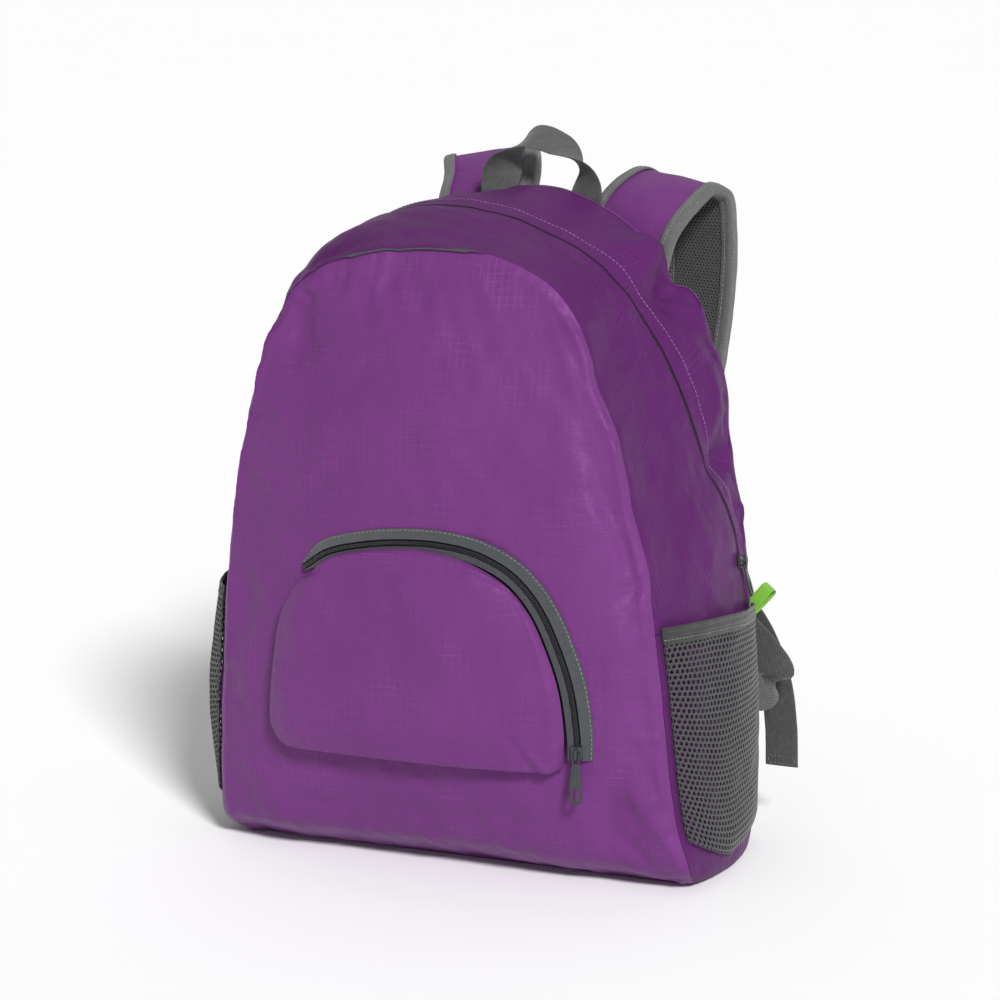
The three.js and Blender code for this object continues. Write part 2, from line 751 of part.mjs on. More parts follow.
const panelInset = pocketCoilWidth / 2 + innerTapeWidth + seamGap + 3 * rimGap;
const arcCorner = 0.56;         // where along the arc the pocket's top edge turns into its right edge
const pocketHem = clothWall + seamGap;

function flatArc(k, out) {
  const point = besideArc(k, out, 0);
  point.y = 0;
  return point;
}

const pocketEnd = flatArc(1, -panelInset - 5).setZ(pocketBottom - 1);
const pocketPatch = filledPatch(
  (u) => pocketLeftEdge.getPoint(0).lerp(pocketEnd, u),
  (u) => flatArc(u * arcCorner, -panelInset),
  (v) => pocketLeftEdge.getPoint(v).lerp(flatArc(0, -panelInset), v * v * v * v),
  (v) => flatArc(1 - v * (1 - arcCorner), -panelInset).lerp(pocketEnd, Math.pow(1 - v, 12)),
);

function pocketPoint(u, v) {
  const point = pocketPatch(u, v);
  const topLift = arcLift(u * arcCorner);
  const rightLift = arcLift(1 - v * (1 - arcCorner));
  const edgeLift = Math.max(topLift * Math.pow(v, 3), rightLift * Math.pow(u, 3) * quarterRound(v, 0.15));
  const bulge = quarterRound(u, 0.16) * quarterRound(v, 0.16) * quarterRound(1 - u, 0.5) * quarterRound(1 - v, 0.5);
  point.y = frontDepth(point.x, point.z) - pocketHem - edgeLift * (1 - 0.4 * bulge) - pocketSwell * bulge;
  return point;
}

// A band beside the arc between two distances, with a lift at each edge
function arcBand(from, to, liftFrom, liftTo, sides, wall) {
  const surface = (u, v) => {
    const out = from + (to - from) * v;
    const base = arcLift(u);
    return besideArc(u, out, base * (liftFrom.share + (liftTo.share - liftFrom.share) * v)
      + liftFrom.plus + (liftTo.plus - liftFrom.plus) * v);
  };
  return shell(surfaceGrid(surface, spread(0, 1, 22), spread(0, 1, sides)), wall);
}

function buildFrontPocket() {
  const us = [0, 0.03, 0.08, 0.16, 0.27, 0.39, 0.51, 0.63, 0.74, 0.84, 0.92, 0.97, 1];
  const vs = [0, 0.03, 0.08, 0.16, 0.29, 0.43, 0.57, 0.70, 0.82, 0.92, 1];
  add('pocket_panel', shell(panelGrid(pocketPoint, us, vs), clothWall), pocketCloth);
  const half = pocketCoilWidth / 2;
  const flat = { share: 1, plus: pocketHem };
  const hem = { share: 0, plus: tapeWall + seamGap };
  add('pocket_zip_coil', arcBand(-half, half, flat, flat, 1, coilWall), blackCoil);
  const outerFrom = half + seamGap + tapeWall * 0.8;
  const outerEdge = outerFrom + outerTapeWidth;
  add('pocket_zip_tape_outer', arcBand(outerFrom, outerEdge, flat, hem, 2, tapeWall), greyTape);
  const innerFrom = -half - seamGap;
  add('pocket_zip_tape_inner', arcBand(innerFrom, innerFrom - innerTapeWidth, flat, flat, 1, tapeWall), greyTape);
}

// Zip slider with its arch, and the pull whose crossbar passes under the arch
const hingeStand = archHeight - archWall - 0.55 - pullWall / 2;

function sliderGeometry() {
  const body = new THREE.BoxGeometry(sliderWidth, sliderPlate, sliderLength);
  body.translate(0, sliderPlate / 2, 0);
  const reach = sliderLength / 2 - 0.6;
  const outline = new THREE.Shape();
  outline.moveTo(-reach, -0.4);
  outline.lineTo(-reach, archHeight - 1.2);
  outline.lineTo(-reach + 1.2, archHeight);
  outline.lineTo(reach - 1.2, archHeight);
  outline.lineTo(reach, archHeight - 1.2);
  outline.lineTo(reach, -0.4);
  outline.closePath();
  const opening = new THREE.Path();
  const inner = reach - archWall;
  opening.moveTo(-inner, 0.01);
  opening.lineTo(inner, 0.01);
  opening.lineTo(inner, archHeight - archWall);
  opening.lineTo(-inner, archHeight - archWall);
  opening.closePath();
  outline.holes.push(opening);
  const arch = new THREE.ExtrudeGeometry(outline, { depth: archWidth, bevelEnabled: false });
  arch.translate(0, 0, -archWidth / 2);
  const turn = new THREE.Matrix4().makeBasis(
    new THREE.Vector3(0, 0, 1),
    new THREE.Vector3(0, -1, 0),
    new THREE.Vector3(1, 0, 0),
  );
  arch.applyMatrix4(turn);
  return fused(body, arch);
}

function pullGeometry(pullLength) {
  const outline = new THREE.Shape();
  const neck = pullNeck / 2;
  const foot = pullWidth / 2;
  const top = pullWall / 2;
  outline.moveTo(-neck, top);
  outline.lineTo(-neck, -pullWindow - 2 * top);
  outline.lineTo(-foot, -pullLength * 0.55);
  outline.lineTo(-foot, -pullLength + foot);
  outline.absarc(0, -pullLength + foot, foot, Math.PI, 2 * Math.PI, false);
  outline.lineTo(foot, -pullLength * 0.55);
  outline.lineTo(neck, -pullWindow - 2 * top);
  outline.lineTo(neck, top);
  outline.closePath();
  const window = new THREE.Path();
  const clear = archWidth / 2 + 0.7;
  window.moveTo(-clear, -top);
  window.lineTo(-clear, -top - pullWindow);
  window.lineTo(clear, -top - pullWindow);
  window.lineTo(clear, -top);
  window.closePath();
  const hole = new THREE.Path();
  const holeFoot = -pullLength + foot;
  const r = pullHoleWidth / 2;
  hole.absarc(0, holeFoot, r, Math.PI, 2 * Math.PI, false);
  hole.absarc(0, holeFoot + pullHoleLength - pullHoleWidth, r, 0, Math.PI, false);
  hole.closePath();
  outline.holes.push(window, hole);
  return plate(outline, pullWall);
}

// place is a sample on the coil; the slider faces out along its normal and the pull hangs from
// it, leaning out at its foot by lean degrees
function addSlider(prefix, place, pullLength, lean) {
  const out = place.normal;
  const up = new THREE.Vector3(0, 0, 1);
  const broad = up.clone().cross(out).normalize();
  const back = out.clone().negate();
  const slider = add(`${prefix}_slider`, sliderGeometry(), greyPaintedMetal);
  slider.quaternion.setFromRotationMatrix(new THREE.Matrix4().makeBasis(broad, back, broad.clone().cross(back)));
  slider.position.copy(place.point).addScaledVector(out, sliderStand + sliderPlate);
  const pull = add(`${prefix}_pull`, pullGeometry(pullLength), greyPaintedMetal);
  const rise = up.applyAxisAngle(broad, -THREE.MathUtils.degToRad(lean));
  pull.quaternion.setFromRotationMatrix(new THREE.Matrix4().makeBasis(broad, rise.clone().cross(broad), rise));
  pull.position.copy(slider.position).addScaledVector(out, hingeStand);
}

function buildSliders() {
  const coilTop = (u, v) => besideArc(u, (v - 0.5) * pocketCoilWidth, arcLift(u) + pocketHem);
  addSlider('pocket_zip', surfaceGrid(coilTop, [0.97], [0.5])[0][0], pocketPullLength, 0);
  const along = 1 - zipStart - (mainPullLength + pullClear) / frontSeam.getLength();
  addSlider('main_zip', sideSample(along, zipEdges(along).front), mainPullLength, mainPullLean);
}

// Grab handle: places are shares of the half span, the rear reach and the height above the rear seam
const handleRise = handlePeak - bagHeight;
const handleRows = table(['out', 'back', 'rise', 'broadX', 'broadY', 'broadZ'], [
  [-0.96, 1.045, -0.55, 1.00, 0.00, 0.00],
  [-1.00, 1.085, 0.05, 0.96, 0.28, 0.00],
  [-0.80, 1.110, 0.58, 0.55, 0.75, 0.36],
  [-0.34, 1.130, 1.00, 0.12, 0.82, 0.56],
  [0.24, 1.150, 0.84, -0.15, 0.82, 0.55],
  [0.68, 1.120, 0.44, -0.60, 0.72, 0.34],
  [0.87, 1.085, -0.05, -0.95, 0.30, 0.00],
  [0.84, 1.045, -0.60, -1.00, 0.00, 0.00],
]);

function buildHandle() {
  const rows = handleRows.map((row) => ({
    point: new THREE.Vector3(row.out * handleHalfSpan, row.back * rearReach, bagHeight + row.rise * handleRise),
    broad: new THREE.Vector3(row.broadX, row.broadY, row.broadZ),
  }));
  add('grab_handle', webbing(routeStations(rows, 24)), greyWebbing);
}

// Shoulder straps: out is a share of frontHalfWidth, back of strapReach, up of bagHeight;
// yaw and dip turn the strap's broad direction, in degrees
const strapRows = table(['out', 'back', 'up', 'yaw', 'dip', 'left', 'wide'], [
  [0.311, 0.535, 0.872, 0, -4, 0.3, 1.00],
  [0.329, 0.562, 0.912, -4, -10, 0.4, 1.00],
  [0.359, 0.621, 0.953, -12, -16, 0.8, 1.00],
  [0.395, 0.729, 0.983, -16, -16, 1.0, 1.00],
  [0.443, 0.857, 1.000, -14, -8, 1.0, 1.00],
  [0.475, 0.957, 0.981, -18, -4, 1.0, 1.00],
  [0.497, 0.993, 0.931, -26, 0, 0.8, 0.98],
  [0.500, 0.993, 0.841, -28, 0, 0.6, 0.96],
  [0.480, 0.943, 0.735, -24, 0, 0.4, 0.93],
  [0.462, 0.857, 0.640, -16, 0, 0.2, 0.88],
  [0.455, 0.786, 0.557, -8, 0, 0.0, 0.80],
  [0.458, 0.736, 0.505, 0, 0, 0.0, 0.70],
]);

function strapStations(side) {
  const rows = strapRows.map((row) => {
    const share = side < 0 ? row.left : 0;
    const out = row.out * frontHalfWidth - leftStrapInset * share;
    const up = row.up * bagHeight + leftStrapRise * share;
    const yaw = THREE.MathUtils.degToRad(row.yaw);
    const dip = THREE.MathUtils.degToRad(row.dip);
    return {
      point: new THREE.Vector3(side * out, row.back * strapReach, up),
      broad: new THREE.Vector3(side * Math.cos(yaw) * Math.cos(dip), Math.sin(yaw) * Math.cos(dip), Math.sin(dip)),
    };
  });
  const widths = strapRows.map((row, k) => ({ at: k / (strapRows.length - 1), wide: row.wide }));
  const count = 17;
  return routeStations(rows, count).map((station, k) => ({
    ...station,
    half: (strapWidth / 2) * smoothValue(widths, 'at', 'wide', k / count),
  }));
}

// Profile of each station carried along them, as a grid for a wall
function profileGrid(stations, profile) {
  return stations.map((station) => profile(station).map(([b, f], k, corners) => {
    const before = corners[Math.max(0, k - 1)];
    const after = corners[Math.min(corners.length - 1, k + 1)];
    const run = new THREE.Vector2(after[0] - before[0], after[1] - before[1]).normalize();
    const normal = station.broad.clone().multiplyScalar(run.y).addScaledVector(station.face, -run.x);
    return { point: offsetPoint(station, b, f), normal };
  }));
}

function buildStrap(name, side) {
  const stations = strapStations(side);
  const thick = strapPad / 2;
  const edge = thick * 0.55;
  const rings = stations.map((station) => {
    const padHalf = station.half - bindingWall - rimGap;
    const inner = padHalf * 0.74;
    return [
      [-padHalf, -edge], [-inner, -thick], [inner, -thick], [padHalf, -edge],
      [padHalf, edge], [inner, thick], [-inner, thick], [-padHalf, edge],
    ].map(([b, f]) => offsetPoint(station, b, f));
  });
  add(`strap_pad_${name}`, sweptRings(rings), purpleCloth);
  const stand = bindingWall + rimGap;
  const top = thick + stand;
  const turn = edge + stand;
  [['inner', -1], ['outer', 1]].forEach(([edgeName, sign]) => {
    const profile = ({ half }) => [
      [sign * (half - bindingWidth), sign * top], [sign * half, sign * turn],
      [sign * half, -sign * turn], [sign * (half - bindingWidth), -sign * top],
    ];
    const rows = profileGrid(stations, profile).map((row) => row.map((sample) => {
      sample.normal.multiplyScalar(-1);
      return sample;
    }));
    add(`strap_binding_${edgeName}_${name}`, shell(rows, bindingWall), greyBinding);
  });
  const netFace = side * (thick + seamGap + strapNetWall / 2);
  const lining = stations.map((station) => ({ ...station, point: offsetPoint(station, 0, netFace) }));
  const netWide = ({ half }) => 2 * (half - bindingWidth - 0.4);
  add(`strap_net_${name}`, ribbon(lining, netWide, strapNetWall), greyNet);
}

// Ladder lock at the end of each strap: its own frame leans with the webbing
const lockOut = 0.498;          // share of frontHalfWidth
const lockBack = 0.716;         // share of strapReach
const lockUp = 0.434;           // share of bagHeight
const lockYaw = THREE.MathUtils.degToRad(-6);
const lockLean = THREE.MathUtils.degToRad(30);

function lockFrame(side) {
  const turn = new THREE.Matrix4().makeRotationZ(side * lockYaw);
  turn.multiply(new THREE.Matrix4().makeRotationY(-side * lockLean));
  turn.setPosition(side * lockOut * frontHalfWidth, lockBack * strapReach, lockUp * bagHeight);
  return turn;
}

const upperBarFoot = lockHeight / 2 - lockBar;
const middleBarHead = upperBarFoot - upperSlot;
const lowerBarHead = -lockHeight / 2 + lockBar;
const legStand = lockWall / 2 + seamGap + webbingWall / 2;

function slotPath(low, high) {
  const path = new THREE.Path();
  const half = lockSlotWidth / 2;
  path.moveTo(-half, low);
  path.lineTo(half, low);
  path.lineTo(half, high);
  path.lineTo(-half, high);
  path.closePath();
  return path;
}

function lockGeometry() {
  const outline = new THREE.Shape();
  const x = lockWidth / 2;
  const z = lockHeight / 2;
  const chamfer = 2.5;
  const corners = [
    [-x + chamfer, -z], [x - chamfer, -z], [x, -z + chamfer], [x, z - chamfer],
    [x - chamfer, z], [-x + chamfer, z], [-x, z - chamfer], [-x, -z + chamfer],
  ];
  corners.forEach(([a, b], k) => (k === 0 ? outline.moveTo(a, b) : outline.lineTo(a, b)));
  outline.closePath();
  outline.holes.push(slotPath(middleBarHead, upperBarFoot), slotPath(lowerBarHead, lowerBarHead + lowerSlot));
  return plate(outline, lockWall);
}

// Half turn of webbing about a bar, from the rear leg to the front one, in the lock's own frame
function barTurn(centre, sign) {
  return spread(0, Math.PI, 6).map((angle) => new THREE.Vector3(
    0,
    legStand * Math.cos(angle),
    centre + sign * legStand * Math.sin(angle),
  ));
}

// Free tail and load leg of the lower webbing: out of frontHalfWidth, back of strapReach, up of bagHeight
const tailRows = table(['out', 'back', 'up', 'broadX', 'broadY', 'broadZ'], [
  [0.946, 0.745, 0.092, 0.98, -0.20, 0.08],
  [0.938, 0.750, 0.160, 0.98, -0.20, 0.05],
  [0.905, 0.765, 0.230, 0.95, -0.20, 0.20],
  [0.820, 0.775, 0.305, 0.86, -0.20, 0.46],
  [0.690, 0.760, 0.365, 0.82, -0.16, 0.54],
]);
const loadRows = table(['out', 'back', 'up', 'broadX', 'broadY', 'broadZ'], [
  [0.660, 0.630, 0.368, 0.82, -0.14, 0.54],
  [0.790, 0.620, 0.325, 0.80, -0.14, 0.58],
  [0.905, 0.625, 0.280, 0.80, -0.05, 0.60],
  [0.960, 0.615, 0.245, 0.55, 0.25, 0.80],
  [0.935, 0.560, 0.225, 0.10, 0.10, 1.00],
  [0.888, 0.489, 0.228, 0.00, 0.00, 1.00],
]);

function buildWebbing(name, side) {
  const frame = lockFrame(side);
  const lock = add(`ladder_lock_${name}`, lockGeometry(), blackPlastic);
  lock.applyMatrix4(frame);
  const acrossLock = new THREE.Vector3(1, 0, 0).transformDirection(frame);
  const inWorld = (point) => point.applyMatrix4(frame);
  const free = (row) => ({
    point: new THREE.Vector3(side * row.out * frontHalfWidth, row.back * strapReach, row.up * bagHeight),
    broad: new THREE.Vector3(row.broadX, side * row.broadY, side * row.broadZ),
  });
  const held = (point) => ({ point: inWorld(point), broad: acrossLock.clone() });
  const legFoot = -lockHeight / 2 - 4;
  const rows = [
    ...tailRows.map(free),
    held(new THREE.Vector3(0, legStand, legFoot)),
    held(new THREE.Vector3(0, legStand, lowerBarHead)),
    ...barTurn(middleBarHead - 0.2, 1).map(held),
    held(new THREE.Vector3(0, -legStand, lowerBarHead)),
    held(new THREE.Vector3(0, -legStand, legFoot)),
    ...loadRows.map(free),
  ];
  add(`strap_webbing_${name}`, webbing(routeStations(rows, 44)), greyWebbing);
  const stations = strapStations(side);
  const end = stations[stations.length - 1];
  const run = end.point.clone().sub(stations[stations.length - 2].point).normalize();
  const sewn = (stand, below) => ({
    point: offsetPoint(end, 0, -side * stand).addScaledVector(run, below),
    broad: end.broad.clone().multiplyScalar(side),
  });
  const tabRows = [
    sewn(legStand, seamGap),
    sewn(legStand, 4),
    held(new THREE.Vector3(0, legStand + seamGap, lockHeight / 2 + 4.5)),
    held(new THREE.Vector3(0, legStand, upperBarFoot + 2)),
    ...barTurn(upperBarFoot + 0.2, -1).map(held),
    held(new THREE.Vector3(0, -legStand, upperBarFoot + 2)),
    held(new THREE.Vector3(0, -legStand - 3 * seamGap, lockHeight / 2 + 4.5)),
    sewn(-legStand, 4),
    sewn(-legStand, seamGap),
  ];
  add(`strap_tab_${name}`, webbing(routeStations(tabRows, 18)), greyWebbing);
}

// Lime cloth loop sewn in at the rear end of the right elastic
function buildTab() {
  const outline = new THREE.Shape();
  const teardrop = (path, inset) => {
    const half = tabLoop / 2 - inset;
    const tip = tabLength - tabLoop / 2;
    path.moveTo(inset * 2, -Math.max(0.2, 0.8 - inset));
    path.lineTo(tip * 0.55, -half);
    path.absarc(tip, 0, half, -Math.PI / 2, Math.PI / 2, false);
    path.lineTo(tip * 0.55, half);
    path.lineTo(inset * 2, Math.max(0.2, 0.8 - inset));
    path.closePath();
  };
  teardrop(outline, 0);
  const hollow = new THREE.Path();
  teardrop(hollow, tabCloth);
  outline.holes.push(hollow);
  const geometry = new THREE.ExtrudeGeometry(outline, { depth: tabBreadth, bevelEnabled: false, curveSegments: 6 });
  geometry.translate(0, 0, -tabBreadth / 2);
  const tab = add('loop_tab', geometry, limeTape);
  const spot = rearSeam.getPointAt(1 - alongAtHeight(netTop - netSlope + elasticWidth * 0.4));
  tab.position.copy(spot).add(new THREE.Vector3(-6, 2.8, -5));
  tab.rotation.set(THREE.MathUtils.degToRad(-40), THREE.MathUtils.degToRad(-48), THREE.MathUtils.degToRad(30), 'ZYX');
}

buildBase();
buildPanels();
buildSides();
buildGussets();
buildNetPockets();
buildFrontPocket();
buildSliders();
buildHandle();
buildStrap('left', -1);
buildStrap('right', 1);
buildWebbing('left', -1);
buildWebbing('right', 1);
buildTab();

export default backpack;
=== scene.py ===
import math

import bmesh
import bpy
import numpy as np
from mathutils import Matrix, Vector


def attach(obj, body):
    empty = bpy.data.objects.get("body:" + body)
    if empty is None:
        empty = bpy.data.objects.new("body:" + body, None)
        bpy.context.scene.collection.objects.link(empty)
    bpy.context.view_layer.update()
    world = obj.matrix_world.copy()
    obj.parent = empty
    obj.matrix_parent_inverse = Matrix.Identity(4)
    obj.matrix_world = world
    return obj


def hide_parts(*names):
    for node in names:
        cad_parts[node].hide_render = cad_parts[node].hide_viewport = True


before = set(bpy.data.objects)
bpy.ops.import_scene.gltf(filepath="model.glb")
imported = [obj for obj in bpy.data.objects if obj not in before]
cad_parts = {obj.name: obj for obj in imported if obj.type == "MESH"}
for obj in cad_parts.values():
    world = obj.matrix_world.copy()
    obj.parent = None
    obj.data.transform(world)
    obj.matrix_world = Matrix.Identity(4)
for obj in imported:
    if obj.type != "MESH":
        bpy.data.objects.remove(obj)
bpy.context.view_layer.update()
scene = bpy.context.scene

# Sizes shared with the CAD source
BAG_HEIGHT, FRONT_HEIGHT = 422.0, 394.0
FRONT_HALF, REAR_HALF = 167.0, 152.0
FRONT_REACH, REAR_REACH = 92.0, 66.0
CLOTH, SEAM_GAP, RIM_GAP = 1.2, 0.3, 0.5
FRONT_SWELL, BACK_SWELL, SIDE_SWELL = 30.0, 7.0, 32.0
ZIP_SLOT, ZIP_LAP, TAPE, COIL = 3.0, 8.0, 0.8, 1.3
POCKET_COIL, OUTER_TAPE, INNER_TAPE = 3.2, 6.0, 4.0
POCKET_HALF, POCKET_BOTTOM, POCKET_HEIGHT = 106.0, 78.0, 138.0
POCKET_SWELL, ZIP_LIFT = 13.0, 4.0
NET_TOP, NET_WALL, NET_STAND, NET_FOOT, NET_SLOPE = 167.0, 1.6, 3.4, 14.0, 27.0
NET_SWELL = {"left": 8.0, "right": 6.5}
ELASTIC_WIDTH, ELASTIC_WALL = 11.0, 1.8
STRAP_WIDTH, STRAP_PAD, STRAP_REACH = 66.0, 6.0, 140.0
LEFT_INSET, LEFT_RISE = 12.0, 13.0
BINDING_WIDTH, BINDING_WALL, STRAP_NET = 8.0, 1.2, 0.9
WEBBING_WIDTH, WEBBING_WALL = 25.0, 1.5
HANDLE_PEAK, HANDLE_HALF = 452.0, 33.0
LOCK_HEIGHT, LOCK_WALL, LOCK_BAR, UPPER_SLOT = 27.0, 3.0, 4.0, 8.0
TAB_LENGTH, TAB_BREADTH, TAB_CLOTH, TAB_LOOP = 27.0, 9.0, 1.0, 7.0
SEAM_FOOT = CLOTH + SEAM_GAP
SEAM_TUCK = 0.6  # a side cloth's edge starts this far behind the seam, so that the seam is closed
MIDDLE = np.array([0.0, -5.0, 190.0])
MM = 0.001


# Number helpers
def unit(v):
    return v / np.maximum(np.linalg.norm(v, axis=-1, keepdims=True), 1e-9)


def xyz(x, y, z):
    return np.stack(np.broadcast_arrays(x, y, z), axis=-1).astype(float)


def columns(rows):
    return np.array(rows, float).T


def eased(xs, ys, value):
    """Value between the rows of a table, without overshoot, flat at the table's ends."""
    xs, ys = np.asarray(xs, float), np.asarray(ys, float)
    v = np.clip(np.asarray(value, float), xs[0], xs[-1])
    d = np.diff(ys) / np.diff(xs)
    m = np.zeros(len(xs))
    kept = d[:-1] * d[1:] > 0
    m[1:-1][kept] = 2 * (d[:-1] * d[1:])[kept] / (d[:-1] + d[1:])[kept]
    k = np.clip(np.searchsorted(xs, v, side="right") - 1, 0, len(xs) - 2)
    span = xs[k + 1] - xs[k]
    f = (v - xs[k]) / span
    rise = (3 - 2 * f) * f * f
    return (ys[k] * (1 - rise) + ys[k + 1] * rise
            + span * (m[k] * f * (1 - f) ** 2 - m[k + 1] * f * f * (1 - f)))


def quarter_round(value, reach):
    return np.sqrt(1 - (1 - np.clip(value / reach, 0, 1)) ** 2)


def ripple(x, y, seed):
    """Smooth seeded unevenness from -1 to 1, with one bump for each unit of x and y."""
    xi, yi = np.floor(x), np.floor(y)
    fx, fy = x - xi, y - yi
    sx, sy = fx * fx * (3 - 2 * fx), fy * fy * (3 - 2 * fy)

    def corner(i, j):
        h = np.sin((xi + i) * 127.1 + (yi + j) * 311.7 + seed * 74.7) * 43758.5453
        return (h - np.floor(h)) * 2 - 1

    low = corner(0, 0) * (1 - sx) + corner(1, 0) * sx
    high = corner(0, 1) * (1 - sx) + corner(1, 1) * sx
    return low * (1 - sy) + high * sy


def reached_along(line):
    """Length along a line of points, up to each point."""
    return np.concatenate([[0], np.cumsum(np.linalg.norm(np.diff(line, axis=0), axis=1))])


class Route:
    """A smooth line through points, the same as the CAD source's."""

    def __init__(self, points):
        self.points = np.array(points, float)
        first = 2 * self.points[0] - self.points[1]
        last = 2 * self.points[-1] - self.points[-2]
        self.around = np.vstack([first, self.points, last])
        self.shares = np.linspace(0, 1, 401)
        self.reached = reached_along(self.at(self.shares))
        self.length = self.reached[-1]

    def at(self, share):
        place = np.clip(np.asarray(share, float), 0, 1) * (len(self.points) - 1)
        i = np.minimum(place.astype(int), len(self.points) - 2)
        w = (place - i)[..., None]
        x0, x1, x2, x3 = (self.around[i + k] for k in range(4))
        d0, d1, d2 = (np.sqrt(np.maximum(np.linalg.norm(b - a, axis=-1), 1e-6))[..., None]
                      for a, b in ((x0, x1), (x1, x2), (x2, x3)))
        t1 = ((x1 - x0) / d0 - (x2 - x0) / (d0 + d1) + (x2 - x1) / d1) * d1
        t2 = ((x2 - x1) / d1 - (x3 - x1) / (d1 + d2) + (x3 - x2) / d2) * d1
        return (x1 + t1 * w + (-3 * x1 + 3 * x2 - 2 * t1 - t2) * w ** 2
                + (2 * x1 - 2 * x2 + t1 + t2) * w ** 3)

    def turn(self, share):
        share = np.asarray(share, float)
        return unit(self.at(np.minimum(share + 1e-4, 1)) - self.at(np.maximum(share - 1e-4, 0)))

    def share(self, along):
        return np.interp(np.clip(along, 0, 1) * self.length, self.reached, self.shares)

    def along(self, along):
        return self.at(self.share(along))


# Seams and cloth surfaces, as in the CAD source: tables of shares of the named sizes
FRONT_SEAM = [  # out, up, fore, lean
    (0.929, 0.000, 0.620, 0.011), (0.969, 0.012, 0.740, 0.011), (0.981, 0.038, 0.870, 0.009),
    (0.964, 0.100, 0.930, 0.002), (0.946, 0.165, 0.955, -0.006), (0.912, 0.340, 0.985, -0.012),
    (0.865, 0.513, 1.000, -0.020), (0.792, 0.670, 0.990, -0.036), (0.700, 0.800, 0.965, -0.052),
    (0.617, 0.891, 0.945, -0.056), (0.527, 0.938, 0.935, -0.052), (0.430, 0.965, 0.930, -0.046),
    (0.310, 0.984, 0.925, -0.036), (0.160, 0.996, 0.920, -0.028), (0.000, 1.000, 0.920, -0.024),
]
REAR_SEAM = [  # out, up, back, lean
    (0.955, 0.000, 0.940, 0), (0.990, 0.012, 0.955, 0), (1.000, 0.032, 0.970, 0),
    (1.000, 0.150, 1.000, 0), (0.995, 0.280, 1.000, 0), (0.975, 0.375, 1.000, 0),
    (0.940, 0.500, 1.000, 0), (0.905, 0.573, 1.000, 0), (0.872, 0.640, 1.000, 0),
    (0.858, 0.690, 1.000, 0), (0.826, 0.750, 1.000, 0), (0.754, 0.810, 1.000, 0),
    (0.672, 0.853, 1.000, 0), (0.586, 0.887, 1.000, 0), (0.490, 0.920, 1.000, 0),
    (0.375, 0.952, 1.000, 0), (0.260, 0.974, 1.000, 0), (0.125, 0.993, 1.000, 0),
    (0.000, 1.000, 1.000, 0),
]
SIDE_FULLNESS = columns([  # along, share of the side swell
    (0.000, 0.22), (0.030, 0.52), (0.075, 0.80), (0.115, 0.90), (0.160, 0.76), (0.205, 0.48),
    (0.260, 0.38), (0.310, 0.56), (0.355, 0.64), (0.400, 0.66), (0.450, 0.48), (0.500, 0.16),
    (0.550, -0.06), (0.620, -0.12), (0.680, -0.04), (0.740, 0.10), (0.795, 0.26), (0.840, 0.31),
    (0.890, 0.29), (0.930, 0.30), (0.965, 0.33), (1.000, 0.36),
])
SIDE_FOLDS = [  # along, across, length, breadth, rise
    (0.592, 0.84, 0.018, 0.16, 0.42), (0.624, 0.90, 0.014, 0.16, -0.34),
    (0.655, 0.80, 0.022, 0.20, 0.10), (0.700, 0.86, 0.026, 0.18, 0.16),
    (0.737, 0.88, 0.010, 0.16, -0.24), (0.770, 0.60, 0.030, 0.30, 0.08),
    (0.640, 0.22, 0.026, 0.20, -0.07), (0.690, 0.30, 0.026, 0.22, -0.08),
    (0.345, 0.10, 0.020, 0.14, -0.22), (0.300, 0.75, 0.020, 0.22, -0.12),
]
FRONT_PROFILE = columns([  # up, share of the front swell
    (0.00, 0.00), (0.05, 0.40), (0.13, 0.70), (0.30, 0.94), (0.50, 1.00), (0.70, 0.88),
    (0.85, 0.56), (0.94, 0.24), (1.00, 0.00),
])
FRONT_FOLDS = [  # place out, place up, length, breadth, rise
    (-0.58, 0.86, 0.10, 0.05, -0.16), (0.62, 0.62, 0.12, 0.14, 0.14),
    (0.80, 0.50, 0.07, 0.06, -0.14), (0.74, 0.40, 0.08, 0.05, 0.10),
    (0.78, 0.12, 0.10, 0.06, -0.14), (-0.80, 0.42, 0.10, 0.06, -0.10),
    (-0.72, 0.10, 0.20, 0.05, 0.08),
]
ZIP_LINE = columns([  # along, across, gape
    (0.184, 0.935, 0.0), (0.220, 0.900, 0.0), (0.280, 0.800, 0.0), (0.350, 0.580, 0.3),
    (0.420, 0.480, 0.0), (0.500, 0.460, 0.0), (0.550, 0.500, 0.0), (0.600, 0.540, 0.0),
    (0.650, 0.570, 0.0), (0.720, 0.660, 0.2), (0.775, 0.800, 1.0), (0.800, 0.870, 1.0),
    (0.816, 0.935, 0.4),
])
ZIP_START, ZIP_GAPE, SPLIT_FALL, SPLIT_REACH = 0.184, 4.0, 0.03, 0.14
POCKET_ARC = [  # out, up, lift
    (-0.76, 0.835, 0.35), (-0.58, 0.920, 0.80), (-0.31, 0.975, 0.90), (-0.04, 1.000, 0.95),
    (0.21, 0.998, 1.00), (0.42, 0.965, 1.00), (0.62, 0.885, 1.05), (0.775, 0.750, 1.15),
    (0.888, 0.560, 1.25), (0.955, 0.385, 1.30), (0.985, 0.180, 1.20), (0.980, 0.060, 0.90),
]
POCKET_LEFT = [  # out, up
    (-0.98, 0.000), (-1.05, 0.070), (-1.02, 0.350), (-0.96, 0.600), (-0.85, 0.760), (-0.79, 0.800),
]
